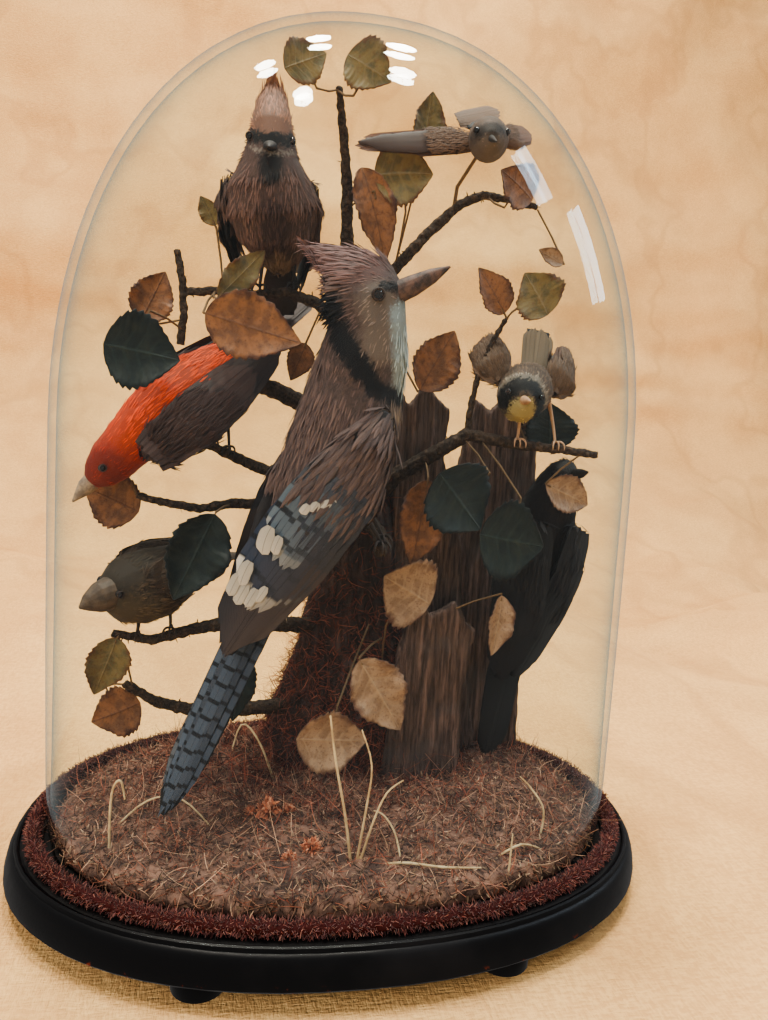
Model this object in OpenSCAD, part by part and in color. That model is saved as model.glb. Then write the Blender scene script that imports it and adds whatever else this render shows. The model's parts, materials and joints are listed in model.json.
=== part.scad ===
// Oval bell jar dome on an ebonised plinth, with a mounted bird display inside.
// Millimetres, +Z up, the front faces -Y, and the feet stand on z = 0 about the origin.

/* [Glass dome] */
// Length of the oval foot, outside the glass
dome_l = 284; // [225:1:345]
// Depth of the oval foot, outside the glass
dome_d = 196; // [160:1:240]
// Height of the glass from its rim to its crown
dome_h = 390; // [320:1:470]
// Height of the straight wall, below the curve of the crown
dome_wall_h = 192; // [150:1:235]
// Thickness of the blown glass
glass_t = 3.5; // [2.5:0.1:5]

/* [Plinth] */
// Height of the moulded plinth, without its feet
plinth_h = 14.5; // [14:0.5:24]
// How far the moulding stands out past the chenille
moulding_w = 8; // [7:0.5:18]
// Thickness of the pine board that the display is built on
board_t = 10; // [8.5:0.5:12]
// Depth of the groove that the rim of the glass stands in
groove_depth = 2.5; // [1.5:0.1:4]
// Width of the flat ring under the moulding, which the feet are fixed to
lip_w = 40; // [36:1:60]
// Diameter of the chenille cord laid round the glass
chenille_d = 8.5; // [6:0.5:14]

/* [Feet] */
// Height of a bun foot
foot_h = 15.5; // [10:0.5:20]
// Largest diameter of a bun foot
foot_d = 23; // [20:1:34]
// Distance between the feet along the plinth
foot_span_x = 127; // [100:1:150]
// Distance between the feet across the plinth
foot_span_y = 180; // [130:1:184]
// Diameter of the spigot turned on a foot
spigot_d = 8; // [6:0.5:10]
// Shank diameter of the wood screw through a foot
screw_d = 3; // [2.5:0.1:4]

/* [Groundwork] */
// Thickness of the mossed groundwork at its edge
ground_edge_h = 6; // [4:0.5:12]
// Extra height of the groundwork at its middle
ground_rise = 7; // [3:0.5:14]

/* [Hidden] */

fit_gap = 0.3;            // loose fit between pieces that part by hand
glue_gap = 0.05;          // radial fit of a glued spigot
half_l = dome_l / 2;
half_d = dome_d / 2;
oval_power = 2.2;         // 2 is an ellipse, and more is fuller at the corners
crown_power = 2.2;        // the same for the curve of the crown
oval_steps = 72;
ledge_z = foot_h + plinth_h;
rim_z = ledge_z - groove_depth;
board_bottom = ledge_z - board_t;
plinth_out = chenille_d + moulding_w;
board_out = chenille_d + 0.5;      // the board stops just inside the bead of the moulding

// The display is arranged for a dome of this size, and shrinks or grows as one with another dome.
display_k = min(dome_l / 280, dome_d / 196, dome_h / 390, dome_wall_h / 192);

// ---------------------------------------------------------------- shapes

// Points of an oval with half-axes a and b.
function oval(a, b) = [for (i = [0:oval_steps - 1])
    let (t = 360 * i / oval_steps, c = cos(t), s = sin(t))
    [a * sign(c) * pow(abs(c), 2 / oval_power), b * sign(s) * pow(abs(s), 2 / oval_power)]];

// The dome's oval foot, moved outwards by an offset.
function foot_oval(offset) = oval(half_l + offset, half_d + offset);
function at_z(points, z) = [for (p = points) [p.x, p.y, z]];

// Faces that join rings of n points in order, around a closed loop of rings or with an end on each side.
function skin_faces(m, n, loop) = concat(
    [for (j = [0:(loop ? m - 1 : m - 2)]) for (i = [0:n - 1])
        let (a = j * n + i, b = j * n + (i + 1) % n, c = ((j + 1) % m) * n + (i + 1) % n,
            d = ((j + 1) % m) * n + i)
        each [[a, d, c], [a, c, b]]],
    loop ? [] : [[for (i = [0:n - 1]) i], [for (i = [n - 1:-1:0]) (m - 1) * n + i]]);

module skin(rings, loop = false) {
    polyhedron([for (r = rings) each r], skin_faces(len(rings), len(rings[0]), loop), convexity = 8);
}

function unit(v) = v / max(norm(v), 1e-9);
function tangent(p, i) = unit(p[min(i + 1, len(p) - 1)] - p[max(i - 1, 0)]);

// One ring of an upright oval section at point i of a line, with half-widths r[0] across and r[1] up.
function section(p, i, r, up, n) = let (t = tangent(p, i), side = unit(cross(t, up)), top = cross(side, t))
    [for (k = [0:n - 1]) p[i] + r[0] * cos(360 * k / n) * side + r[1] * sin(360 * k / n) * top];

// A solid whose oval sections follow a list of [point, half-width across, half-width up].
module loft(spine, up = [0, 0, 1], n = 16) {
    line = [for (s = spine) s[0]];
    skin([for (i = [0:len(spine) - 1]) section(line, i, [spine[i][1], spine[i][2]], up, n)]);
}

// A round tube that tapers from radius r0 to r1 along a list of points.
module tube(p, r0, r1, n = 7) {
    last = len(p) - 1;
    skin([for (i = [0:last]) let (r = r0 + (r1 - r0) * i / last) section(p, i, [r, r], [0.2, 1, 0.3], n)]);
}

// A smooth curve through a list of points, with k steps between each two.
function curve(p, k = 4) = let (last = len(p) - 1) concat([for (i = [0:last - 1]) for (j = [0:k - 1])
    let (a = p[max(i - 1, 0)], b = p[i], c = p[i + 1], d = p[min(i + 2, last)], t = j / k)
    b + (c - a) * t / 2 + (a * 2 - b * 5 + c * 4 - d) * t * t / 2
        + (b * 3 - a - c * 3 + d) * t * t * t / 2], [p[last]]);

// A flat feathered blade, such as a wing or a tail, thin along its own normal.
module blade(spine, normal) loft(spine, normal, 12);

module in_display() translate([0, 0, ledge_z]) scale(display_k) translate([0, 0, -30]) children();

// ---------------------------------------------------------------- base

function feet_at() = [for (x = [-1, 1], y = [-1, 1]) [x * foot_span_x / 2, y * foot_span_y / 2]];

module foot_holes(d, from, to) {
    for (p = feet_at()) translate([p.x, p.y, from]) cylinder(h = to - from, d = d, $fn = 32);
}

// Top and bottom of the spigots and screws inside the board
spigot_top = board_bottom + 3;
screw_top = rim_z - 1;

module base_board() color("#8a6b45") difference() {
    translate([0, 0, board_bottom]) linear_extrude(board_t) polygon(foot_oval(board_out));
    translate([0, 0, rim_z]) linear_extrude(groove_depth + 1) difference() {
        polygon(foot_oval(fit_gap));
        polygon(foot_oval(-glass_t - fit_gap));
    }
    foot_holes(spigot_d + 2 * glue_gap, board_bottom - 1, spigot_top);
    foot_holes(screw_d, board_bottom - 1, screw_top);
}

// The turned section: [offset from the glass, height], from the top inner edge round to the rebate.
function moulding_profile() = let (o = plinth_out, b = foot_h, t = ledge_z, in = board_out)
    [[in, t], [o - 6.6, t], [o - 6.2, t + 1.1], [o - 5.3, t + 1.5], [o - 4.4, t + 1.1], [o - 4, t - 0.6],
     [o - 3.2, t - 0.9], [o - 2.2, t - 2.2], [o - 1.3, t - 4.4], [o - 0.5, t - 8], [o, t - 11],
     [o, b + 1.2],
     [o - 0.9, b], [o - lip_w, b], [o - lip_w, board_bottom], [in, board_bottom]];

module plinth_moulding() color("#17181a") difference() {
    skin([for (q = moulding_profile()) at_z(foot_oval(q[0]), q[1])], loop = true);
    foot_holes(spigot_d + 2 * glue_gap, foot_h - 1, board_bottom + 1);
}

module bun_foot() difference() {
    rotate_extrude($fn = 48) polygon(concat([[0, 0], [foot_d * 0.3, 0]],
        [for (a = [-60:15:60])
            [foot_d / 2 - 4 + 4 * cos(a), foot_h / 2 + foot_h / 2 * 0.96 * sin(a) / sin(60)]],
        [[foot_d * 0.36, foot_h], [spigot_d / 2, foot_h], [spigot_d / 2, spigot_top], [0, spigot_top]]));
    translate([0, 0, -1]) cylinder(h = spigot_top + 2, d = screw_d + 2 * glue_gap, $fn = 24);
    translate([0, 0, -1]) cylinder(h = 5, d = screw_d * 2.4, $fn = 32);
}

module bun_feet() color("#101010") for (p = feet_at()) translate([p.x, p.y, 0]) bun_foot();

// Wood screws, with a round head in the pocket of each foot
module foot_screws() color("#6d6f70") for (p = feet_at()) translate([p.x, p.y, 0]) {
    translate([0, 0, 4 - screw_d * 0.6]) difference() {
        cylinder(h = screw_d * 0.6, d = screw_d * 2, $fn = 24);
        translate([-screw_d, -0.3, -1]) cube([screw_d * 2, 0.6, 1.6]);
    }
    translate([0, 0, 4 - 0.01]) cylinder(h = screw_top - 4, d = screw_d - 2 * glue_gap, $fn = 24);
}

// ---------------------------------------------------------------- glass and trim

crown_steps = 13;

// One wall of the dome, from the rim to a small ring at the crown, set in by a thickness.
function wall_rings(inset) = let (top = dome_h - inset, a = half_l - inset, b = half_d - inset)
    concat([at_z(oval(a, b), rim_z), at_z(oval(a, b), rim_z + dome_wall_h)],
        [for (i = [1:crown_steps])
            let (u = sin(86 * i / crown_steps), s = pow(1 - pow(u, crown_power), 1 / crown_power))
            at_z(oval(a * s, b * s), rim_z + dome_wall_h + (top - dome_wall_h) * u / sin(86))]);

function reversed(v) = [for (i = [len(v) - 1:-1:0]) v[i]];

module glass_dome() color("#cfe3dc", 0.35) skin(concat(reversed(wall_rings(0)), wall_rings(glass_t)));

module chenille_trim() color("#6b1f1c") {
    r = chenille_d / 2 - 0.1;
    skin([for (k = [0:8]) at_z(foot_oval(fit_gap + r + 0.1 + r * cos(40 * k)),
        ledge_z + r + 0.1 + r * sin(40 * k))],
        loop = true);
}

// ---------------------------------------------------------------- groundwork

ground_in = glass_t + 1.5;    // the groundwork stops this far inside the outer face of the glass

// Height of the moss over the middle of the ground at x, y: [x, y, height, spread] for each hump
HUMPS = [[-62, 30, 20, 24], [95, 40, 9, 26], [-30, -45, 4, 22], [45, -50, 3, 24], [10, 40, 5, 50]];
function hump_z(x, y, k) = k * max([for (h = HUMPS)
    h[2] * exp(-(pow(x / k - h[0], 2) + pow(y / k - h[1], 2)) / pow(h[3], 2))]);
function ground_ring(s, z) = [for (p = foot_oval(-ground_in)) let (x = p.x * s, y = p.y * s)
    [x, y, z + (s < 0.93 ? hump_z(x, y, display_k) : 0)]];

module groundwork() color("#7d6244") skin(concat(
    [at_z(foot_oval(-ground_in), ledge_z), at_z(foot_oval(-ground_in), ledge_z + ground_edge_h - 2)],
    [for (s = [0.97, 0.88, 0.76, 0.62, 0.48, 0.34, 0.2, 0.07])
        ground_ring(s, ledge_z + ground_edge_h + ground_rise * sqrt(1 - s * s))]));

// ---------------------------------------------------------------- wood

module tree_stump() color("#3b2c22") in_display() loft([
    [[10, 34, 32], 56, 34], [[9, 34, 46], 51, 31], [[9, 34, 66], 44, 28], [[10, 33, 92], 36, 25],
    [[11, 32, 120], 29, 22], [[11, 31, 146], 25, 20], [[11, 30, 168], 22, 17], [[11, 28, 190], 17, 14],
    [[10, 26, 206], 11, 9]], up = [0, 1, 0], n = 18);

// A slab of split bark with a torn top: outline points in its own plane, thickness and place
module slab(outline, t, place, lean, turn) translate(place) rotate([0, lean, turn]) rotate([90, 0, 0])
    linear_extrude(t) polygon(outline);

module bark_slabs() color("#5a4540") in_display() {
    slab([[-20, 0], [22, 0], [20, 60], [23, 120], [16, 168], [20, 196], [8, 212], [-2, 200], [-10, 214],
        [-19, 196], [-16, 150], [-21, 90]], 8, [62, 32, 46], -8, 8);
    slab([[-22, 0], [24, 0], [22, 70], [25, 130], [20, 180], [24, 212], [10, 204], [2, 217], [-8, 201],
        [-17, 208], [-24, 170], [-20, 90]], 7, [89, 41, 42], 1, -6);
    slab([[-22, 0], [22, 0], [20, 46], [23, 84], [10, 100], [-3, 92], [-14, 104], [-21, 66]], 6,
        [47, 9, 40], 2, 10);
}

module crown_branch() color("#4a3b30") in_display() tube([[10, 26, 196], [8, 22, 230], [2, 16, 262],
    [-4, 10, 292], [-7, 4, 318], [-9, -2, 346], [-13, -10, 368], [-17, -20, 383]], 6, 1.6);

module upper_right_branch() color("#4a3b30") in_display() tube([[-1, 13, 276], [8, 9, 296], [17, 6, 310],
    [34, 4, 330], [49, 3, 345], [60, 1, 350], [74, -1, 349], [88, -3, 346]], 3.6, 1.8);

module waxwing_branch() color("#4a3b30") in_display() {
    tube([[2, 15, 264], [-8, 9, 281], [-20, 3, 290], [-36, 0, 294], [-52, 0, 291], [-66, 0, 292],
        [-82, 0, 290]], 3.4, 2);
    tube([[-88, 0, 309], [-85, 0, 295], [-84, 0, 280], [-85, 0, 265]], 1.8, 2.1);
}

module tanager_branch() color("#43352b") in_display() {
    tube([[8, 32, 198], [-4, 29, 222], [-20, 26, 240], [-40, 24, 248], [-58, 22, 252]], 6.5, 4);
    tube([[2, 22, 188], [-14, 18, 196], [-32, 12, 203], [-50, 7, 209], [-66, 5, 216],
        [-77, 3, 220]], 4, 2.2);
    tube([[4, 28, 170], [-20, 24, 182], [-42, 14, 188], [-58, 9, 189], [-74, 5, 186], [-92, 2, 189],
        [-104, 0, 192]],
        3.6, 1.8);
}

module jay_perch() color("#43352b") in_display()
    tube([[12, 30, 178], [14, 12, 180], [15, -6, 178], [14, -22, 175], [11, -36, 173]], 5, 3);

module finch_branch() color("#4a3b30") in_display()
    tube([[6, 30, 118], [-18, 24, 122], [-42, 14, 125], [-64, 5, 127], [-77, -2, 126], [-94, -10, 123],
        [-112, -12, 127]],
        5, 2);

module low_left_branch() color("#4a3b30") in_display()
    tube([[2, 32, 74], [-24, 26, 76], [-52, 16, 78], [-78, 9, 81], [-94, 5, 87], [-108, 1, 98]], 5, 2.2);

module yellowthroat_branch() color("#43352b") in_display() {
    tube([[12, 28, 184], [26, 14, 206], [44, 6, 219], [60, 0, 230], [72, -5, 228], [88, -9, 226],
        [108, -11, 225], [127, -12, 223]], 5, 2);
    tube([[60, 0.4, 230], [61, 0, 246], [65, 0, 266], [71, 0, 280], [77, 0, 291]], 1.9, 1.3);
}

// ---------------------------------------------------------------- leaves

// [group, middle, angle of the leaf from +X up, turn about the vertical, length, width, where its wire joins]
LEAVES = [
    ["olive", [-33, -30, 387], 118, 8, 20, 20, [-17, -19, 382]],
    ["olive", [-5, -30, 388], 62, -12, 24, 22, [-17, -20, 381]],
    ["olive", [28, -4, 378], 84, 14, 30, 17, [18, 6, 312]],
    ["olive", [17, -10, 352], 96, -8, 32, 28, [18, 6, 312]],
    ["russet", [-1, -8, 346], 150, 10, 20, 14, [-9, -2, 344]],
    ["russet", [6, -8, 326], 278, 4, 32, 20, [-8, 1, 336]],
    ["russet", [75, -8, 354], 60, 16, 25, 22, [62, 1, 350]],
    ["olive", [-74, -4, 327], 120, 10, 14, 10, [-66, 0, 293]],
    ["russet", [-98, -2, 286], 66, 12, 26, 20, [-84, 0, 277]],
    ["dark_green", [-99, -26, 258], 262, 6, 34, 32, [-84, 0, 272]],
    ["russet", [-51, -26, 272], -14, -8, 44, 30, [-69, 0, 292]],
    ["olive", [-57, -20, 297], 48, 22, 32, 14, [-70, 0, 291]],
    ["russet", [-28, 12, 262], 250, 10, 20, 14, [-18, 3, 289]],
    ["straw", [-30, 24, 312], 190, 6, 18, 9, [-6, 6, 306]],
    ["russet", [-116, 5, 189], 245, 6, 26, 27, [-104, 0, 192]],
    ["dark_green", [-74, -31, 168], 246, 10, 42, 28, [-60, 7, 188]],
    ["olive", [-114, -16, 112], 250, 14, 28, 20, [-104, 2, 95]],
    ["russet", [-112, 3, 82], 290, 10, 27, 24, [-107, 1, 97]],
    ["dark_green", [-52, -6, 97], 262, 6, 34, 16, [-56, 14, 79]],
    ["russet", [40, -4, 266], 62, 6, 34, 25, [12, 10, 289]],
    ["russet", [35, -10, 184], 262, 8, 44, 27, [40, 7, 215]],
    ["dark_green", [51, -24, 197], 222, 12, 40, 36, [58, 0, 228]],
    ["dark_green", [78, -28, 179], 262, -8, 40, 32, [66, -3, 228]],
    ["straw", [30, -12, 150], 60, 10, 38, 30, [24, 12, 104]],
    ["straw", [14, -40, 105], 302, 10, 42, 27, [22, 6, 120]],
    ["straw", [-8, -40, 84], 264, 8, 30, 34, [14, 3, 128]],
    ["russet", [67, -3, 303], 128, 12, 26, 19, [77, 0, 290]],
    ["olive", [90, -5, 303], 38, 10, 31, 24, [77, 0, 290]],
    ["straw", [96, -5, 322], 160, 8, 15, 9, [88, -3, 345]],
    ["dark_green", [108, 8, 237], 4, 6, 32, 26, [92, -9, 225]],
    ["straw", [80, -10, 131], 264, 14, 32, 16, [58, 8, 134]],
    ["straw", [116, -6, 201], -20, 12, 30, 20, [118, -12, 223]],
];

leaf_t = 0.8;
function leaf_dir(l) = [cos(l[2]) * cos(l[3]), cos(l[2]) * sin(l[3]), sin(l[2])];
function leaf_base(l) = l[1] - leaf_dir(l) * l[4] / 2;

// Outline of a leaf from its stalk at the origin to its point at [length, 0]
function leaf_outline(length, width) = [for (s = [1, -1]) for (i = [0:6])
    let (t = s > 0 ? i / 7 : 1 - i / 7) [length * t, s * width / 2 * pow(sin(180 * pow(t, 0.8)), 0.7)]];

module leaves(group) in_display() for (l = LEAVES) if (l[0] == group) translate(leaf_base(l))
    rotate([0, 0, l[3]]) rotate([0, -l[2], 0]) rotate([90, 0, 0]) translate([0, 0, -leaf_t / 2])
        linear_extrude(leaf_t) polygon(leaf_outline(l[4], l[5]));

module leaf_wires() color("#6a5a48") in_display() for (l = LEAVES) {
    from = leaf_base(l) + leaf_dir(l) * 2.5;
    mid = (from + l[6]) / 2 - leaf_dir(l) * 3;
    tube([from, leaf_base(l) - leaf_dir(l) * 1.5, mid, l[6]], 0.7, 0.6, 5);
}

// ---------------------------------------------------------------- ground dressing

module grass_stalks() color("#b59a72") in_display() {
    tube(curve([[0, -68, 34], [-4, -66, 60], [-9, -63, 84], [-12, -60, 104]]), 0.9, 0.6, 5);
    tube(curve([[1, -68, 34], [5, -66, 62], [7, -64, 82], [2, -62, 98]]), 0.8, 0.5, 5);
    tube(curve([[2, -68, 34], [8, -67, 56], [14, -66, 70], [22, -64, 75]]), 0.8, 0.5, 5);
    tube(curve([[2, -68, 36], [20, -74, 42], [38, -79, 42], [56, -78, 40]]), 0.9, 0.6, 5);
    tube(curve([[22, -74, 34], [20, -64, 48], [15, -60, 56], [10, -58, 58]]), 0.7, 0.5, 5);
    tube(curve([[-106, -46, 32], [-106, -46, 54], [-105, -45, 66], [-102, -44, 69], [-100, -44, 60]]),
        0.8, 0.6, 5);
    tube(curve([[-108, -26, 36], [-92, -30, 52], [-76, -34, 54], [-60, -36, 38]]), 0.7, 0.5, 5);
    tube(curve([[68, -80, 34], [70, -76, 44], [72, -72, 52]]), 0.8, 0.5, 5);
    tube(curve([[64, -70, 38], [78, -68, 44], [94, -62, 36]]), 0.8, 0.6, 5);
    tube(curve([[94, -52, 36], [96, -50, 50], [90, -48, 60], [84, -46, 66]]), 0.8, 0.5, 5);
    tube(curve([[-30, 0, 38], [-40, 8, 62], [-50, 14, 70], [-56, 18, 46]]), 0.8, 0.6, 5);
}

module dried_flowers() color("#b88a63") in_display()
    for (f = [[-36, -34, 47, 6], [-26, -31, 45, 3.5], [-44.5, -30, 44, 3], [-18, -62, 43, 5],
        [-28, -66, 41, 4]])
        translate([f[0], f[1], f[2]]) sphere(r = f[3], $fn = 24);

// ---------------------------------------------------------------- birds

module eye_pair(a, b, r) for (p = [a, b]) translate(p) sphere(r = r, $fn = 24);

module glass_eyes() color("#120c08") in_display() {
    eye_pair([-0.5, -58.6, 286], [1.5, -32.5, 288], 2.8);
    eye_pair([-117, -16, 205.5], [-119, 5.5, 207.5], 1.8);
    eye_pair([-56, -19.5, 357], [-37, -19.5, 357], 1.8);
    eye_pair([70.5, -28.5, 251.5], [87.5, -28, 250], 1.4);
    eye_pair([-105.5, -34, 151], [-117, -15, 153], 1.8);
    eye_pair([45, -33, 367], [60, -31.5, 368.5], 1.4);
    eye_pair([111, 2.5, 212], [126.5, 9, 212], 1.7);
}

// A leg with its wire: one tapering piece from the body down to toes that close over the perch
module leg(from, to, r) loft([[from, r * 1.5, r * 1.5], [(from + to * 2) / 3, r, r],
    [to + [0, 0.5, 1], r * 1.3, r], [to + [0, -2, 0.6], r * 3, r * 0.7],
    [to + [0, -5, -2.4], r * 3, r * 0.5]], up = [0, -0.6, 0.8], n = 8);

module jay_body() color("#6d625f") in_display()
    loft([[[-39, -37, 147], 9, 8], [[-32, -35, 164], 16, 14], [[-24, -33, 182], 22, 19],
        [[-17, -32, 202], 25, 23], [[-10, -33, 222], 26, 25], [[-6, -35, 238], 24.5, 24],
        [[-4, -38, 252], 21, 22], [[-2, -42, 265], 18.5, 20], [[-2, -45, 277], 15, 18],
        [[-4, -46, 287], 13, 19], [[-7, -45, 294], 11, 17], [[-13, -42, 300], 7, 13],
        [[-22, -38, 305], 4, 7], [[-29, -36, 308], 1.5, 2]], up = [1, 0, 0]);
module jay_bill() color("#1d1b1c") in_display()
    loft([[[9, -49.5, 289], 4.6, 5], [[16, -51, 292.5], 4, 4.6], [[24, -53, 297], 2.6, 3.2],
        [[31, -55, 301], 0.5, 0.5]]);
module jay_wings() color("#4d5f78") in_display() {
    blade([[[6, -55, 238], 3, 2], [[1, -58, 226], 10, 4], [[-8, -58, 208], 16.5, 4.5],
        [[-23.5, -57, 188], 18, 4.5], [[-39.5, -55, 166], 15, 4], [[-51, -53, 146], 9.5, 3],
        [[-58, -52, 129], 3, 1.5]], [0, -1, 0]);
    blade([[[-14, -14, 238], 3, 2], [[-20, -12, 222], 10, 4], [[-27, -12, 204], 14, 4.5],
        [[-35, -14, 184], 14, 4.5], [[-43, -18, 164], 11, 4], [[-50, -24, 146], 7, 3],
        [[-57, -30, 130], 3, 1.5]], [-0.4, 1, 0]);
}
module jay_tail() color("#4f6b85") in_display()
    blade([[[-38, -36, 156], 8, 4.5], [[-48, -41, 134], 9, 3], [[-60, -47, 108], 10, 2],
        [[-71, -52, 84], 9.5, 1.6], [[-80, -56, 66], 6, 1.2], [[-83, -57, 59], 1.5, 0.6]],
        [-0.6, -1, 0.2]);
module jay_legs() color("#2b2422") in_display() {
    leg([2, -28, 196], [13, -26, 178], 1.3);
    leg([0, -38, 192], [11, -34, 176], 1.3);
}

module tanager_body() color("#c2402a") in_display()
    loft([[[-48, 14, 270], 5, 5], [[-56, 12, 264], 10, 9], [[-66, 8, 255], 15, 14], [[-78, 4, 245], 18, 17],
        [[-90, 0, 235], 18, 18], [[-100, -3, 225], 15, 16], [[-108, -4, 216], 13, 14],
        [[-115, -5, 208], 12, 12.5],
        [[-121, -5.5, 201], 8.5, 8.5], [[-124.5, -6, 197], 4, 4]], up = [0.6, 0, 0.7]);
module tanager_bill() color("#8b8478") in_display()
    loft([[[-121, -5.5, 201], 4, 4.6], [[-126, -6.5, 195.5], 3.4, 4], [[-131.5, -7.5, 188.5], 0.5, 0.5]]);
module tanager_wings() color("#2a2220") in_display() {
    blade([[[-99, -17, 212], 3, 1.5], [[-91, -20, 217], 10, 3], [[-77, -18, 228], 12.5, 3.2],
        [[-62, -10, 243], 11, 2.6], [[-48, 0, 259], 7, 2], [[-37, 8, 272], 2, 1]], [0, -1, 0.15]);
    blade([[[-101, 10, 240], 3, 1.5], [[-91, 15, 248], 9, 3], [[-78, 19, 256], 10, 3.2],
        [[-64, 20, 266], 8, 2.6], [[-52, 21, 275], 5, 2], [[-44, 21, 280], 2, 1]], [-0.3, 1, 0.4]);
}
module tanager_tail() color("#2a2220") in_display()
    blade([[[-52, 14, 267], 6, 3], [[-42, 22, 277], 8, 2], [[-32, 30, 288], 9, 1.5],
        [[-23, 36, 298], 7, 1]], [-0.6, -1, 0.6]);
module tanager_legs() color("#33291f") in_display() {
    leg([-70, -6, 242], [-69, 3, 219], 0.9);
    leg([-64, 2, 244], [-61, 7, 216], 0.9);
}

module waxwing_body() color("#8a6f5c") in_display()
    loft([[[-39, 6, 304], 5, 5], [[-40, 2, 311], 13, 12], [[-42, -4, 321], 20, 18],
        [[-44, -9, 332], 23, 20], [[-46, -12, 342], 19, 17], [[-46, -13, 350], 14, 14],
        [[-46, -13, 357], 12, 12.5], [[-46, -12, 364], 10.5, 11], [[-46, -9, 371], 9.5, 8],
        [[-46, -7, 377], 8.5, 5], [[-46, -5, 383], 6, 3], [[-46, -4, 387], 2, 1]],
        up = [0, 1, 0]);
module waxwing_bill() color("#1d1a19") in_display()
    loft([[[-46.5, -22, 353], 3.6, 2.6], [[-47, -27, 351], 2.8, 2], [[-47.4, -32, 349], 0.5, 0.4]]);
module waxwing_wings() color("#57483d") in_display() {
    blade([[[-62, -10, 342], 3, 2], [[-66, -5, 333], 7, 3], [[-65, 2, 320], 8, 3], [[-59, 10, 308], 6, 2.5],
        [[-52, 18, 296], 2, 1]], [-1, 0, 0]);
    blade([[[-29, -10, 342], 3, 2], [[-25, -5, 333], 7, 3], [[-25, 2, 320], 8, 3], [[-28, 11, 308], 6, 2.5],
        [[-31, 20, 297], 2, 1]], [1, 0, 0]);
}
module waxwing_tail() color("#4a4038") in_display()
    blade([[[-39, 5, 306], 6, 3], [[-38, 10, 300], 8, 2], [[-38, 16, 293], 8.5, 1.5],
        [[-38, 22, 286], 8, 1]], [0, -1, -0.6]);
module waxwing_legs() color("#2b2422") in_display() {
    leg([-48, -3, 314], [-49, -1, 294], 0.9);
    leg([-33, -3, 314], [-33, 0, 296], 0.9);
}

module yellowthroat_body() color("#8d8258") in_display()
    loft([[[99, 13, 266], 4, 4], [[96, 8, 262], 9, 9], [[92, 1, 258], 13, 13], [[87, -7, 254], 15, 15],
        [[83, -14, 251], 14, 14], [[80, -20, 249], 12.5, 13], [[79, -26, 248], 9, 9.5],
        [[78.5, -30, 247.5], 4, 4]]);
module yellowthroat_bill() color("#7a5d4a") in_display()
    loft([[[78.6, -28, 248], 2.4, 2.4], [[78.2, -33, 247.5], 1.8, 1.8], [[78, -39, 247], 0.4, 0.4]]);
module yellowthroat_wings() color("#6e5643") in_display() {
    blade([[[76, -6, 258], 3, 1.5], [[71, -2, 265], 9, 3], [[69, 3, 273], 9, 2.6],
        [[70, 7, 281], 3, 1.4]], [-0.4, -1, 0]);
    blade([[[101, -5, 254], 3, 1.5], [[108, -2, 260], 10, 3], [[110, 3, 270], 9, 2.6],
        [[112, 7, 279], 3, 1.4]], [0.4, -1, 0]);
}
module yellowthroat_tail() color("#75654a") in_display()
    blade([[[97, 10, 262], 6, 3], [[99, 14, 272], 7, 1.8], [[101, 17, 282], 9, 1.4],
        [[102, 19, 289], 7, 1]], [0, -1, 0.3]);
module yellowthroat_legs() color("#c09a74") in_display() {
    leg([83, -12, 242], [84, -8.5, 227.5], 0.8);
    leg([101, -5, 250], [104, -10.5, 227], 0.8);
}

module finch_body() color("#5f5a34") in_display()
    loft([[[-74, 13, 157], 5, 5], [[-79, 7, 156], 11, 11], [[-86, -1, 154], 16, 15.5],
        [[-94, -9, 151], 19, 18], [[-101, -16, 150], 18.5, 18], [[-107, -22, 150], 15, 16],
        [[-111.5, -27, 150], 9.5, 10], [[-113.5, -29, 150], 5, 5]]);
module finch_bill() color("#a59a7c") in_display()
    loft([[[-111, -26.5, 149.5], 7.5, 8], [[-115, -31, 148.5], 6, 7], [[-119, -35, 147], 3, 4],
        [[-121.5, -38, 145.5], 0.6, 0.6]]);
module finch_wings() color("#3f3a28") in_display() {
    blade([[[-95, -28, 156], 3, 1.5], [[-86, -22, 157], 8, 3], [[-77, -9, 158], 9, 3],
        [[-67, 5, 158], 6, 2], [[-59, 15, 158], 2, 1]], [0.6, -1, 0.3]);
    blade([[[-110, -7, 159], 3, 1.5], [[-103, 4, 160], 8, 3], [[-92, 14, 160], 9, 3],
        [[-80, 22, 160], 6, 2], [[-70, 28, 159], 2, 1]], [-0.6, 1, 0.3]);
}
module finch_tail() color("#3f3a28") in_display()
    blade([[[-75, 12, 157], 6, 3], [[-68, 19, 158], 7, 2], [[-60, 27, 158], 8, 1.4],
        [[-54, 33, 158], 7, 1]], [0, 0, 1]);
module finch_legs() color("#4a3a2c") in_display() {
    leg([-87, -7, 142], [-86, -6, 127], 0.9);
    leg([-100, -14, 136], [-101, -10.5, 125.5], 0.9);
}

module hummingbird_body() color("#5b5850") in_display()
    loft([[[60, -6, 380], 4, 4], [[59, -9, 377], 6.5, 6.5], [[56, -16, 372], 9.5, 9.5],
        [[54, -22, 368], 10.5, 11], [[52.5, -28, 365], 10, 10.5], [[51.5, -34, 363.5], 7.5, 8],
        [[51, -38, 362.5], 3.5, 3.5]]);
module hummingbird_bill() color("#1d1a19") in_display()
    loft([[[51.2, -36, 363], 1.6, 1.6], [[49.5, -45, 359], 1.1, 1.1], [[47.5, -56, 354], 0.4, 0.4]]);
module hummingbird_wings() color("#6b4f42") in_display() {
    blade([[[48, -20, 367], 3, 1.6], [[38, -21, 366], 6, 1.6], [[22, -22, 363], 6.5, 1.2],
        [[4, -23, 360], 5, 1], [[-8, -23, 359], 1.2, 0.6]], [0, -1, 0.3]);
    blade([[[61, -20, 370], 3, 1.6], [[67, -18, 372], 6, 1.6], [[73, -15, 374], 6, 1.2],
        [[77, -13, 376], 3, 0.8]], [0, -1, 0.3]);
}
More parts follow.
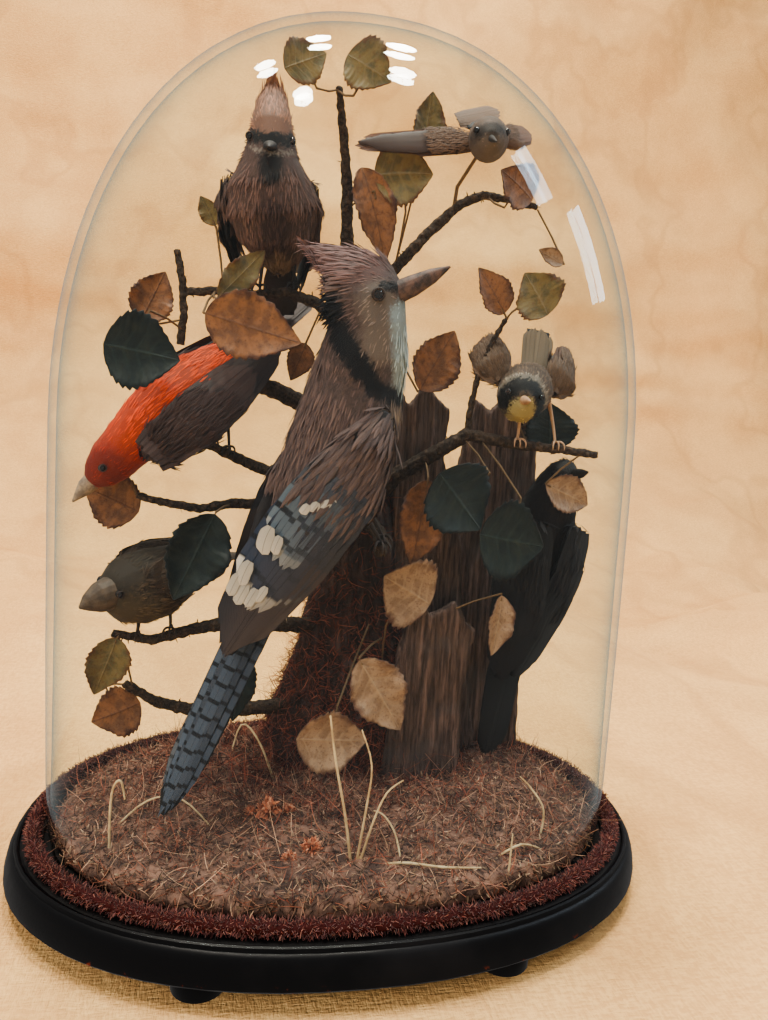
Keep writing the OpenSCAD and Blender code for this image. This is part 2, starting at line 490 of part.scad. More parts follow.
module hummingbird_tail() color("#4d443c") in_display()
    blade([[[58.5, -8, 378], 6, 2.4], [[55, -5, 382.5], 11, 1.6], [[53, -3, 386.5], 13, 1],
        [[52, -2, 389], 10, 0.7]], [0, -1, 0.4]);
module hummingbird_wire() color("#3a332c") in_display()
    tube([[53, -17, 366], [49, -8, 358], [46, -1, 352], [46, 3, 343]], 0.9, 1.1, 6);

module blackbird_body() color("#251c1a") in_display()
    loft([[[96, 14, 112], 6, 6], [[99, 15, 126], 14, 12], [[104, 16, 144], 20, 16],
        [[108, 16, 164], 21, 17], [[111, 14, 182], 19, 17], [[114, 11, 196], 15, 15],
        [[117, 9, 207], 12.5, 13], [[119, 7, 215], 9, 9.5], [[120, 6, 220], 3, 3]], up = [0, 1, 0]);
module blackbird_bill() color("#161312") in_display()
    loft([[[120.5, -1, 212], 3, 3.2], [[122, -7, 213], 2.2, 2.4], [[123, -12, 214], 0.5, 0.5]]);
module blackbird_wings() color("#191311") in_display() {
    blade([[[101, -5, 186], 4, 2], [[95, -6, 168], 11, 3.2], [[93, -5, 144], 13, 3.2],
        [[91, 0, 118], 9, 2.6], [[88, 4, 98], 3, 1.4]], [-0.3, -1, 0]);
    blade([[[123, 0, 184], 4, 2], [[123, 0, 166], 8, 3.2], [[117, 1, 144], 10, 3.2],
        [[107, 4, 120], 9, 2.6], [[97, 7, 98], 3, 1.4]], [0.6, -1, 0]);
}
module blackbird_tail() color("#151010") in_display()
    blade([[[97, 14, 120], 8, 4], [[93, 12, 98], 11, 2.4], [[89, 9, 76], 10, 1.8], [[85, 7, 60], 7, 1.4],
        [[84, 6, 54], 3, 1]], [0.2, -1, 0]);
module blackbird_legs() color("#201815") in_display() {
    leg([101, 24, 158], [92, 33, 148], 1.1);
    leg([110, 24, 164], [103, 35, 156], 1.1);
}

// ---------------------------------------------------------------- which piece to draw

base_board();
plinth_moulding();
bun_feet();
foot_screws();
glass_dome();
chenille_trim();
groundwork();
tree_stump();
bark_slabs();
grass_stalks();
dried_flowers();
crown_branch();
upper_right_branch();
waxwing_branch();
tanager_branch();
jay_perch();
finch_branch();
low_left_branch();
yellowthroat_branch();
color("#22352c") leaves("dark_green");  // leaves_dark_green
color("#6c6a42") leaves("olive");  // leaves_olive
color("#8a5a34") leaves("russet");  // leaves_russet
color("#b39a68") leaves("straw");  // leaves_straw
leaf_wires();
glass_eyes();
jay_body();
jay_bill();
jay_wings();
jay_tail();
jay_legs();
tanager_body();
tanager_bill();
tanager_wings();
tanager_tail();
tanager_legs();
waxwing_body();
waxwing_bill();
waxwing_wings();
waxwing_tail();
waxwing_legs();
yellowthroat_body();
yellowthroat_bill();
yellowthroat_wings();
yellowthroat_tail();
yellowthroat_legs();
finch_body();
finch_bill();
finch_wings();
finch_tail();
finch_legs();
hummingbird_body();
hummingbird_bill();
hummingbird_wings();
hummingbird_tail();
hummingbird_wire();
blackbird_body();
blackbird_bill();
blackbird_wings();
blackbird_tail();
blackbird_legs();
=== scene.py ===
# %% [markdown]
# # An oval bell jar dome with mounted birds
#
# This is a Victorian parlour piece: a blown glass dome stands in a groove on an ebonised plinth, a chenille
# cord hides the joint, and birds sit on twigs above a mossed groundwork. The sizes and places all come from
# the frame, which holds one closed solid for each part. The plinth and the glass only need better surfaces.
# The birds, leaves and moss need far more detail than a solid has, so each is grown here over its solid.

# %% Load the frame
import json
import math
import bpy
import numpy as np
from mathutils import Matrix, Vector

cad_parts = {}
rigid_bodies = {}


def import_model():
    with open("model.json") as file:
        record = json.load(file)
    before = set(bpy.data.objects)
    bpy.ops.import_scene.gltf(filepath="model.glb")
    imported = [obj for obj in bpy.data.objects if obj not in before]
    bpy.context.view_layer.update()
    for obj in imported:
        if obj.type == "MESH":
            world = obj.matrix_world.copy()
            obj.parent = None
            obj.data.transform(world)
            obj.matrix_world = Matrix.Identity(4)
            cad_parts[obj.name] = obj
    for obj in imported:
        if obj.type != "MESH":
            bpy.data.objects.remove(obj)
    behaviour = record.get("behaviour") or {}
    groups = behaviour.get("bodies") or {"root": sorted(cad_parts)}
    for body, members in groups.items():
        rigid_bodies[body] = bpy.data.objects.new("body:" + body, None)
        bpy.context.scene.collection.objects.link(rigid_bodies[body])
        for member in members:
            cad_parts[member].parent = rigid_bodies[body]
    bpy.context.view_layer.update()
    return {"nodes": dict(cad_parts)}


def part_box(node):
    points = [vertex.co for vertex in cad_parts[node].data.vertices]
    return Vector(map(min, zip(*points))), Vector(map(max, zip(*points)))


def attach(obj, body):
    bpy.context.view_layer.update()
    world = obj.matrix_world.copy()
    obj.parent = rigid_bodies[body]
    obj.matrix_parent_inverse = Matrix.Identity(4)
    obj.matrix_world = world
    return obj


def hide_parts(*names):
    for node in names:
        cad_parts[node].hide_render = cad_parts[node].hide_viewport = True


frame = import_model()
NODES = frame["nodes"]
MM = 0.001

# %% [markdown]
# ## Camera
#
# The display is looked at from close by, a little from the left and from above its middle, with the camera
# slightly tipped. The camera comes first, because every later piece is judged through it. Its direction is
# built from three plain turns, which is easier to adjust than a matrix.

# %% Set the camera
EYE = Vector((-51.8, -371.9, 228.6)) * MM
TURN, DIP, TIP = 0.186, 0.104, 0.055        # radians: towards +X, downwards, and about the line of sight
camera_data = bpy.data.cameras.new("camera")
camera_data.lens = 26.1
camera = bpy.data.objects.new("camera", camera_data)
bpy.context.collection.objects.link(camera)
camera.matrix_world = (Matrix.Translation(EYE) @ Matrix.Rotation(-TURN, 4, "Z")
                       @ Matrix.Rotation(math.pi / 2 - DIP, 4, "X") @ Matrix.Rotation(TIP, 4, "Z"))
bpy.context.scene.camera = camera
print("camera at", [round(v, 3) for v in EYE])

# %% [markdown]
# ## Shader maths
#
# A pattern in a material is arithmetic on numbers that vary over the surface. Writing it as Python
# expressions keeps it readable, so one small class wraps a socket and adds a Math node for each operator.
# Colours are blended with Mix nodes instead, because a Math node would turn them grey.

# %% A socket that understands arithmetic
class Wave:
    """A number that varies over a surface: the output socket of a node in one material."""

    def __init__(self, paint, socket):
        self.paint, self.socket = paint, socket

    def _math(self, operation, a, b=None):
        return self.paint.node("ShaderNodeMath", {"operation": operation}, [a] if b is None else [a, b])

    def __add__(self, other): return self._math("ADD", self, other)
    def __radd__(self, other): return self._math("ADD", other, self)
    def __sub__(self, other): return self._math("SUBTRACT", self, other)
    def __rsub__(self, other): return self._math("SUBTRACT", other, self)
    def __mul__(self, other): return self._math("MULTIPLY", self, other)
    def __rmul__(self, other): return self._math("MULTIPLY", other, self)
    def __pow__(self, other): return self._math("POWER", self, other)
    def abs(self): return self._math("ABSOLUTE", self)
    def sin(self): return self._math("SINE", self)
    def above(self, edge): return self._math("GREATER_THAN", self, edge)

    def ramp(self, low, high):
        """0 at low and 1 at high, with soft ends."""
        return self.paint.node("ShaderNodeMapRange", {"interpolation_type": "SMOOTHSTEP"},
                               {"Value": self, "From Min": low, "From Max": high})


# %% A material being painted
def rgb(red, green, blue):
    """A colour as seen on a screen, 0 to 255, in the linear values that shaders use."""
    return tuple((v / 255 / 12.92 if v <= 10 else ((v / 255 + 0.055) / 1.055) ** 2.4)
                 for v in (red, green, blue)) + (1.0,)


class Paint:
    """One material, with helpers that add nodes and return their outputs."""

    def __init__(self, name, **sockets):
        self.material = bpy.data.materials.new(name)
        self.material.use_nodes = True
        self.tree = self.material.node_tree
        self.shader = self.tree.nodes["Principled BSDF"]
        for socket, value in sockets.items():
            self.set(socket.replace("_", " "), value)

    def set(self, name, value):
        self._plug(self.shader.inputs[name], value)
        return self

    def _plug(self, socket, value):
        if isinstance(value, Wave):
            self.tree.links.new(value.socket, socket)
        else:
            socket.default_value = value

    def node(self, kind, settings=(), inputs=(), output=0):
        """Adds a node: its settings first, then the values or links of its sockets, by order or by name."""
        node = self.tree.nodes.new(kind)
        for name, value in dict(settings).items():
            setattr(node, name, value)
        pairs = inputs.items() if isinstance(inputs, dict) else enumerate(inputs)
        for key, value in pairs:
            self._plug(node.inputs[key], value)
        return Wave(self, node.outputs[output])

    def place(self, stretch=(1, 1, 1)):
        """Object coordinates in millimetres, stretched along each axis."""
        spot = self.node("ShaderNodeTexCoord", output="Object")
        return self.node("ShaderNodeMapping", {}, {"Vector": spot, "Scale": [1000 * s for s in stretch]})

    def noise(self, size, detail=3.0, stretch=(1, 1, 1), rough=0.55):
        """Cloudy noise from 0 to 1, with blotches about size millimetres across."""
        return self.node("ShaderNodeTexNoise", {}, {"Vector": self.place(stretch), "Scale": 1 / size,
                                                    "Detail": detail, "Roughness": rough})

    def cells(self, size, stretch=(1, 1, 1)):
        """The distance to the nearest of many scattered points, which leaves dark cells."""
        return self.node("ShaderNodeTexVoronoi", {}, {"Vector": self.place(stretch), "Scale": 1 / size})

    def uv(self):
        """The two coordinates of the piece's own UV map."""
        spot = self.node("ShaderNodeTexCoord", output="UV")
        return [self.node("ShaderNodeSeparateXYZ", {}, [spot], output=i) for i in (0, 1)]

    def attribute(self, name):
        """A colour stored on the points of the mesh."""
        return self.node("ShaderNodeAttribute", {"attribute_name": name}, output="Color")

    def channels(self, colour):
        """The red, green and blue of a colour, each as a number."""
        return [self.node("ShaderNodeSeparateColor", {}, [colour], output=i) for i in (0, 1, 2)]

    def mix(self, amount, a, b):
        """Colour a, with colour b over it by amount. A Mix node holds sockets for every type of value: those
        of its colours are 6 and 7, and the colour it gives out is 2."""
        return self.node("ShaderNodeMix", {"data_type": "RGBA"}, {0: amount, 6: a, 7: b}, output=2)

    def bump(self, height, depth):
        """Feeds a height, 0 to 1, to the normal, as relief of depth millimetres."""
        relief = {"Height": height, "Distance": depth * MM, "Strength": 1.0}
        return self.set("Normal", self.node("ShaderNodeBump", {}, relief))


# %% [markdown]
# ## Working with meshes
#
# Each solid in the frame arrives as loose triangles. A copy has its doubles merged before anything else is
# done to it. Three helpers cover most of the modelling: one copies a solid, one softens it into an organic
# form with a voxel remesh and smoothing, and one reads a mesh into arrays for the scattering further on.

# %% Copy, soften and read meshes
def choose(obj):
    """Makes obj the only selected and active object."""
    bpy.ops.object.select_all(action="DESELECT")
    obj.hide_set(False)
    obj.select_set(True)
    bpy.context.view_layer.objects.active = obj


def in_edit_mode(obj, *steps):
    choose(obj)
    bpy.ops.object.mode_set(mode="EDIT")
    bpy.ops.mesh.select_all(action="SELECT")
    for step in steps:
        step()
    bpy.ops.object.mode_set(mode="OBJECT")
    return obj


def copy_of(node, name):
    """A merged copy of a solid of the frame."""
    mesh = NODES[node].data.copy()
    obj = bpy.data.objects.new(name, mesh)
    bpy.context.collection.objects.link(obj)
    mesh.materials.clear()
    if "custom_normal" in mesh.attributes:
        mesh.attributes.remove(mesh.attributes["custom_normal"])
    return in_edit_mode(obj, lambda: bpy.ops.mesh.remove_doubles(threshold=0.00002))


def modify(obj, kind, **settings):
    """Adds a modifier, sets it and applies it."""
    choose(obj)
    modifier = obj.modifiers.new(kind.lower(), kind)
    for name, value in settings.items():
        setattr(modifier, name, value)
    bpy.ops.object.modifier_apply(modifier=modifier.name)
    return obj


def soften(obj, voxel, smooth=6):
    """Voxel in millimetres. Rounds a coarse solid into one smooth skin."""
    modify(obj, "REMESH", mode="VOXEL", voxel_size=voxel * MM)
    modify(obj, "SMOOTH", iterations=smooth, factor=0.6)
    choose(obj)
    bpy.ops.object.shade_smooth()
    return obj


def roughen(obj, size, depth, stretch=(1, 1, 1)):
    """Pushes the surface in and out with cloudy noise of that size and depth in millimetres."""
    cloud = bpy.data.textures.new(obj.name + "_relief", "CLOUDS")
    cloud.noise_scale = 0.25
    cloud.noise_depth = 3
    points, normals = read(obj)
    heights = np.array([cloud.evaluate(p)[3] for p in points / (np.array(stretch) * size * MM * 4)])
    write(obj, points + normals * ((heights - 0.5) * 2 * depth * MM)[:, None])
    return obj


def read(obj):
    """The points of a mesh, as an array, and its normals."""
    points = np.zeros(len(obj.data.vertices) * 3)
    obj.data.vertices.foreach_get("co", points)
    normals = np.zeros(len(obj.data.vertices) * 3)
    obj.data.vertex_normals.foreach_get("vector", normals)
    return points.reshape(-1, 3), normals.reshape(-1, 3)


def write(obj, points):
    obj.data.vertices.foreach_set("co", np.ascontiguousarray(points, dtype=np.float32).ravel())
    obj.data.update()


def done(obj, body, slot, paint, *nodes):
    """Gives a finished piece its body, material and the nodes that it stands for. Its slot is not used."""
    obj.data.materials.clear()
    obj.data.materials.append(paint.material)
    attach(obj, body)
    if nodes:
        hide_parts(*nodes)
    obj.data.calc_loop_triangles()
    print(f"{obj.name}: {len(obj.data.loop_triangles)} triangles")
    return obj


# %% [markdown]
# ## Small shapes that repeat
#
# Plumage, moss and pile are thousands of copies of one small blade. The blade is modelled once, from a grid
# primitive whose rows are scaled to an outline. A helper then lays copies of it, each with its own place,
# direction, size and tint, and joins them in one mesh. Arrays do this in a moment, where one object for each
# blade would take minutes.

# %% Model a blade from a grid
def blade_shape(name, rows, columns, outline, cup=0.0):
    """A blade along +Y from 0 to 1. outline gives the width at each height, and cup hollows it across.
    Returns its points, faces and UVs."""
    choose(NODES["base_board"])
    bpy.ops.mesh.primitive_grid_add(x_subdivisions=columns, y_subdivisions=rows, size=1, location=(0, 0, 0))
    obj = bpy.context.active_object
    obj.name = name
    points = read(obj)[0]
    across, along = points[:, 0] * 2, points[:, 1] + 0.5
    width = np.array([outline(v) for v in along])
    uv = np.stack([across / 2 + 0.5, along], 1)
    shaped = np.stack([across / 2 * width, along, cup * (1 - across ** 2) * width], 1)
    faces = [tuple(p.vertices) for p in obj.data.polygons]
    bpy.data.objects.remove(obj)
    return shaped, faces, uv


def pointed(v):
    """The width of a body feather or a petal: fullest before its middle, with a sharp tip."""
    return 0.35 + 1.5 * v * (1 - v) if v < 0.7 else 2.2 * (1.0 - v) + 0.02


def rounded(v):
    """The width of a wing feather: narrow at the root, then parallel, with a round end."""
    if v < 0.75:
        return 0.5 + 0.5 * min(1, v * 4)
    return math.sqrt(max(0.0, 1 - ((v - 0.75) / 0.25) ** 2.2)) * 0.98 + 0.02


LANCET = blade_shape("lancet", 4, 2, pointed, 0.25)
VANE = blade_shape("vane", 9, 4, rounded, 0.06)
FIBRE = blade_shape("fibre", 4, 1, lambda v: 1 - 0.7 * v)
print("blades:", [len(shape[1]) for shape in (LANCET, VANE, FIBRE)], "faces each")


# %% Lay copies of a blade
def unit(v):
    """Vectors brought to a length of 1."""
    return v / np.maximum(np.linalg.norm(v, axis=-1, keepdims=True), 1e-9)


def lay(name, shape, at, along, up, length, width, bend=0.0, sway=0.0, tint=None, mark=None):
    """Lays one copy of a blade at each place. Places and sizes are in metres. bend lifts the tips along up
    and sway carries them sideways, both as shares of the length. tint and mark are stored for materials."""
    at, along = np.asarray(at, float), unit(np.asarray(along, float))
    count = len(at)
    side = unit(np.cross(along, np.broadcast_to(up, at.shape)))
    up = np.cross(side, along)
    size = [np.broadcast_to(np.asarray(v, float), (count,))[:, None, None]
            for v in (length, width, bend, sway)]
    x, y, z = [shape[0][:, i][None, :, None] for i in range(3)]
    points = (at[:, None] + along[:, None] * size[0] * y
              + side[:, None] * (size[1] * x + size[3] * size[0] * y ** 2)
              + up[:, None] * (size[1] * z + size[2] * size[0] * y ** 2))
    each = shape[0].shape[0]
    faces = np.array(shape[1])
    faces = (faces[None] + (np.arange(count) * each)[:, None, None]).reshape(-1, faces.shape[1])
    mesh = bpy.data.meshes.new(name)
    mesh.from_pydata(points.reshape(-1, 3), [], faces.tolist())
    uv_map = mesh.uv_layers.new(name="UVMap")
    uv_map.data.foreach_set("uv", np.tile(shape[2], (count, 1))[faces.ravel()].astype(np.float32).ravel())
    for label, values in (("tint", tint), ("mark", mark)):
        if values is not None:
            layer = mesh.attributes.new(label, "FLOAT_COLOR", "POINT")
            colours = np.repeat(with_alpha(values, count), each, 0)
            layer.data.foreach_set("color", colours.astype(np.float32).ravel())
    obj = bpy.data.objects.new(name, mesh)
    bpy.context.collection.objects.link(obj)
    mesh.polygons.foreach_set("use_smooth", [True] * len(mesh.polygons))
    return obj


def with_alpha(values, count):
    """Colours with the fourth value that a colour attribute needs."""
    values = np.broadcast_to(np.asarray(values, float), (count, np.asarray(values).shape[-1]))
    return np.concatenate([values[:, :3], np.ones((count, 1))], 1)


def scatter(obj, count, seed, keep=None):
    """Random places all over a mesh, with their normals. keep picks those that stay."""
    chance = np.random.default_rng(seed)
    points, normals = read(obj)
    obj.data.calc_loop_triangles()
    corners = np.zeros(len(obj.data.loop_triangles) * 3, int)
    obj.data.loop_triangles.foreach_get("vertices", corners)
    corners = corners.reshape(-1, 3)
    a, b, c = (points[corners[:, i]] for i in range(3))
    area = np.linalg.norm(np.cross(b - a, c - a), axis=1)
    picked = chance.choice(len(area), count, p=area / area.sum())
    u, v = chance.random((2, count))
    over = u + v > 1
    u[over], v[over] = 1 - u[over], 1 - v[over]
    weights = np.stack([1 - u - v, u, v], 1)[:, :, None]
    at = (points[corners[picked]] * weights).sum(1)
    normal = unit((normals[corners[picked]] * weights).sum(1))
    if keep is not None:
        kept = keep(at / MM, normal)
        at, normal = at[kept], normal[kept]
    return at, normal


def joined(name, objs):
    """Joins pieces into one, and keeps their UVs and tints."""
    bpy.ops.object.select_all(action="DESELECT")
    for obj in objs:
        obj.select_set(True)
    bpy.context.view_layer.objects.active = objs[0]
    bpy.ops.object.join()
    objs[0].name = name
    return objs[0]


# %% [markdown]
# ## The ebonised plinth
#
# The plinth is a turned pine board under a moulding that was stained black and polished to look like ebony.
# The shape in the frame is right, so its mesh is only merged, turned back into quads and smoothed, because
# loose triangles can't share a soft highlight. The finish is nearly black, with a satin polish, fine
# scratches, and red-brown wood showing where the lower edge has been knocked.

# %% Smooth and polish the plinth
def smooth_copy(node, name, angle=35, levels=0):
    """A copy in quads, shaded smooth where faces meet at less than an angle in degrees."""
    obj = copy_of(node, name)
    in_edit_mode(obj, lambda: bpy.ops.mesh.tris_convert_to_quads(face_threshold=1.0, shape_threshold=1.0))
    if levels:
        modify(obj, "SUBSURF", levels=levels, render_levels=levels)
    choose(obj)
    bpy.ops.object.shade_smooth_by_angle(angle=math.radians(angle))
    return obj


def ebony(name, low, high, wear=1.0):
    """Black polish over red-brown wood, worn between two heights in millimetres."""
    paint = Paint(name, Coat_Weight=0.08, Coat_Roughness=0.3)
    height = paint.node("ShaderNodeSeparateXYZ", {}, [paint.place()], output=2)
    grain = paint.noise(1.1, 4, (0.12, 1, 1))
    knock = (paint.noise(5.5, 4) - 0.62).ramp(0, 0.05) * (1 - height.ramp(low, high)) * wear
    dust = paint.noise(40, 5).ramp(0.45, 0.75)
    polish = paint.mix(dust * 0.5, rgb(8, 9, 12), rgb(30, 31, 34))
    paint.shader.inputs["Specular IOR Level"].default_value = 0.22
    paint.set("Base Color", paint.mix(knock, polish, rgb(104, 42, 26)))
    paint.set("Roughness", 0.36 + dust * 0.2 + grain * 0.1 + knock * 0.2)
    return paint.bump(grain + knock * -1.5, 0.05)


plinth = smooth_copy("plinth_moulding", "plinth_moulding_polished")
foot_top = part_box("plinth_moulding")[0].z / MM
done(plinth, "base", "ebonised_wood", ebony("ebonised_moulding", foot_top + 1, foot_top + 4),
     "plinth_moulding")
feet = smooth_copy("bun_feet", "bun_feet_polished", 50)
done(feet, "base", "ebonised_foot", ebony("ebonised_feet", 1, 3, 0.6), "bun_feet")

# %% Bare pine and steel under the moulding
pine = Paint("bare_pine")
rings = pine.noise(3.2, 3, (0.05, 1, 1))
bare = pine.mix(rings.ramp(0.35, 0.65), rgb(150, 112, 72), rgb(108, 74, 45))
board_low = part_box("base_board")[0].z / MM
stained_top = pine.node("ShaderNodeSeparateXYZ", {}, [pine.place()], output=2).above(board_low + 1)
pine.set("Base Color", pine.mix(stained_top, bare, rgb(20, 19, 20)))
pine.set("Roughness", 0.6 + rings * 0.2).bump(rings, 0.2)
steel = Paint("screw_steel", Metallic=1.0)
rust = steel.noise(0.8, 4).ramp(0.5, 0.7)
steel.set("Base Color", steel.mix(rust, rgb(120, 120, 122), rgb(86, 52, 34)))
steel.set("Roughness", 0.35 + rust * 0.4)
for node, paint in (("base_board", pine), ("foot_screws", steel)):
    NODES[node].data.materials.clear()
    NODES[node].data.materials.append(paint.material)

# %% [markdown]
# ## The glass
#
# Blown glass this thin hardly bends the light, so the dome is not traced as a solid lens. Each wall lets
# light straight through and adds a clear reflection that grows towards the edges, where the wall is seen
# along its length and looks faintly aqua. That mix is quick to render and free of noise. A slow wave in the
# surface gives the slight ripple of hand-blown glass.

# %% Blow the glass
glass = smooth_copy("glass_dome", "glass_dome_blown", 60, levels=1)
clear = Paint("blown_glass", Base_Color=rgb(232, 240, 238), Roughness=0.02, IOR=1.5)
clear.shader.inputs["Specular IOR Level"].default_value = 0.9
edge_on = clear.node("ShaderNodeLayerWeight", {}, {"Blend": 0.5}, output="Facing")
see_through = clear.node("ShaderNodeBsdfTransparent", {}, {"Color": rgb(252, 254, 253)})
tinted = clear.node("ShaderNodeBsdfTransparent", {}, {"Color": rgb(228, 238, 232)})
sheen = clear.node("ShaderNodeBsdfGlossy", {}, {"Color": (0.86, 0.95, 1, 1), "Roughness": 0.015})
body_of_glass = clear.node("ShaderNodeMixShader", {}, [(edge_on ** 5) * 0.8, see_through, tinted])
ripple = clear.node("ShaderNodeBump", {}, {"Height": clear.noise(42, 1.0), "Distance": 0.6 * MM,
                                           "Strength": 0.35})
clear.tree.links.new(ripple.socket, sheen.socket.node.inputs["Normal"])
glassy = clear.node("ShaderNodeMixShader", {}, [0.022 + (edge_on ** 6) * 0.7, body_of_glass, sheen])
clear.tree.links.new(glassy.socket, clear.tree.nodes["Material Output"].inputs["Surface"])
clear.tree.nodes.remove(clear.shader)
done(glass, "dome", "dome_glass", clear, "glass_dome")

# %% [markdown]
# ## The chenille cord
#
# Chenille is a furry cord, woven with short tufts of wool that stand out all round. Here it has faded from
# crimson to a dusty maroon. The ring is copied from the frame as a core, a little thinner, in a darker maroon
# that is painted shade deep in the pile, and several thousand short blades are laid on it as pile.

# %% Lay the pile
def shrink(obj, amount):
    """Moves the surface inwards by an amount in millimetres."""
    points, normals = read(obj)
    write(obj, points - normals * amount * MM)
    return obj


def varied(colours, count, seed, spread=0.12):
    """A colour for each of count blades, drawn from a few, each a little lighter or darker."""
    chance = np.random.default_rng(seed)
    picked = np.array(colours)[chance.integers(0, len(colours), count)]
    return picked[:, :3] * (1 + spread * chance.standard_normal((count, 1))).clip(0.3, 2)


def pile_paint(name, sheen=0.0):
    """Paint for blades that carry their own tint, darkened towards their roots as painted shade among the
    blades.
    """
    paint = Paint(name, Sheen_Weight=sheen, Sheen_Roughness=0.5)
    _, along = paint.uv()
    # shade is painted shade: each blade is darker towards its root, where the others crowd round it.
    shade = 0.45 + 0.55 * along
    paint.set("Base Color", paint.mix(1.0 - shade, paint.attribute("tint"), (0, 0, 0, 1)))
    return paint.set("Roughness", 0.9 + shade * 0.05)


def wool(name, obj, count, seed, length, width, colours, lift=0.9):
    """Tufts that stand out from a surface, each leaning its own way."""
    at, normal = scatter(obj, count, seed)
    chance = np.random.default_rng(seed + 1)
    along = unit(normal * lift + chance.standard_normal(normal.shape) * 0.55)
    return lay(name, FIBRE, at - normal * 0.4 * MM, along, chance.standard_normal(normal.shape),
               chance.uniform(0.6, 1.15, len(at)) * length * MM, width * MM,
               bend=chance.uniform(-0.4, 0.4, len(at)), tint=varied(colours, len(at), seed + 2, 0.2))


MAROONS = [rgb(122, 66, 60), rgb(100, 52, 50), rgb(136, 80, 70), rgb(82, 44, 44), rgb(158, 110, 96),
           rgb(112, 68, 66)]
core = roughen(shrink(soften(copy_of("chenille_trim", "chenille_core"), 1.0, 2), 1.4), 6, 0.9)
wool_paint = pile_paint("chenille_wool", sheen=0.3)
pile = wool("chenille_pile", core, 24000, 11, 2.6, 0.5, MAROONS, 0.7)
done(pile, "base", "chenille", wool_paint, "chenille_trim")
# The core's dark maroon is painted shade deep inside the pile.
done(core, "base", "chenille", Paint("chenille_core", Base_Color=rgb(58, 18, 17), Roughness=0.95))

# %% [markdown]
# ## The mossed groundwork
#
# The birds stand over a papier-mache ground covered with dried moss, which has faded to straw and red-brown.
# The solid gives its mounds. Noise makes it lumpy, and three kinds of fibre are laid over it: a fine felt
# everywhere, longer curling moss on the mounds and round the stump, and pale crumbs of reindeer moss.

# %% Ground and moss
def low_middle(node):
    """The middle of a node's lower face, in millimetres."""
    low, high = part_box(node)
    return np.array([(low.x + high.x) / 2, (low.y + high.y) / 2, low.z]) / MM


STUMP = low_middle("tree_stump")
GROUND_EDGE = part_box("groundwork")[0].z / MM + 3


def top_side(points, normals):
    """Picks the places on the upper side of the ground, where moss grows."""
    return (normals[:, 2] > 0.1) & (points[:, 2] > GROUND_EDGE)


def near(points, x, y, reach):
    """1 at a place on the ground and 0 beyond its reach, in millimetres."""
    away = np.hypot(points[:, 0] - x, points[:, 1] - y) / reach
    return np.clip(1 - away ** 2, 0, 1)


def felt(name, obj, count, seed, length, width, colours, lift, keep=top_side, curl=0.5):
    """Fibres that lie every way over a surface, lifted a little."""
    at, normal = scatter(obj, count, seed, keep)
    chance = np.random.default_rng(seed + 1)
    flat = np.cross(normal, chance.standard_normal(normal.shape))
    along = unit(unit(flat) + normal * chance.uniform(0, lift, (len(at), 1)))
    return lay(name, FIBRE, at + normal * 0.2 * MM, along,
               unit(normal + 0.6 * chance.standard_normal(normal.shape)),
               chance.uniform(0.5, 1.3, len(at)) * length * MM, width * MM,
               bend=chance.uniform(-curl, curl, len(at)), sway=chance.uniform(-curl, curl, len(at)),
               tint=varied(colours, len(at), seed + 2, 0.25))


MOSS = [rgb(188, 140, 114), rgb(160, 116, 98), rgb(116, 86, 76), rgb(218, 176, 146), rgb(84, 66, 60),
        rgb(184, 112, 88)]
COIR = [rgb(168, 90, 68), rgb(128, 66, 56), rgb(188, 112, 86), rgb(90, 52, 48), rgb(142, 90, 74)]
PALE_MOSS = [rgb(190, 158, 132), rgb(156, 124, 100), rgb(126, 98, 82)]

ground = roughen(soften(copy_of("groundwork", "groundwork_core"), 2.0, 4), 9, 1.6)
earth = Paint("moss_bed", Roughness=0.95)
clumps = earth.noise(7, 5)
earth.set("Base Color", earth.mix(clumps.ramp(0.35, 0.65), rgb(84, 64, 58), rgb(150, 114, 98)))
earth.bump(clumps, 1.2)
done(ground, "base", "moss_ground", earth, "groundwork")

moss_paint = pile_paint("moss_fibre")


def round_stump(points, normals):
    """Picks places near the stump and in two clumps beside it, and a few elsewhere."""
    share = np.maximum.reduce([near(points, STUMP[0], STUMP[1] + 2, 92), near(points, -62, 30, 48),
                               near(points, 95, 40, 34)])
    return top_side(points, normals) & (np.random.default_rng(5).random(len(points)) < 0.12 + share)


def left_clump(points, normals):
    """Picks places in the tall red clump at the back left."""
    return np.random.default_rng(6).random(len(points)) < near(points, -48, 14, 34)


mats = [
    felt("moss_felt", ground, 25000, 21, 4.2, 0.5, MOSS, 0.5),
    felt("moss_long", ground, 6500, 24, 11, 0.5, MOSS, 0.9, curl=1.1),
    felt("moss_red", ground, 15000, 27, 7.5, 0.55, COIR, 0.9, round_stump, 0.8),
    felt("moss_crumbs", ground, 7000, 30, 2.2, 1.3, PALE_MOSS, 1.2),
    felt("coir_clump", ground, 9000, 33, 13, 0.5, COIR, 2.6, left_clump, 1.0),
]
done(mats[0], "base", "moss_ground", moss_paint)
done(joined("moss_fibres", mats[1:]), "base", "moss_ground", moss_paint)

# %% [markdown]
# ## Stump, bark and twigs
#
# The middle of the display is a rough stump wrapped in coir, with two slabs of split bark behind it and real
# twigs pegged into it. All of them start from their solids, remeshed finely enough to carry relief. Bark gets
# noise that is stretched upwards, so that its ridges run with the grain. Twigs get small knots.

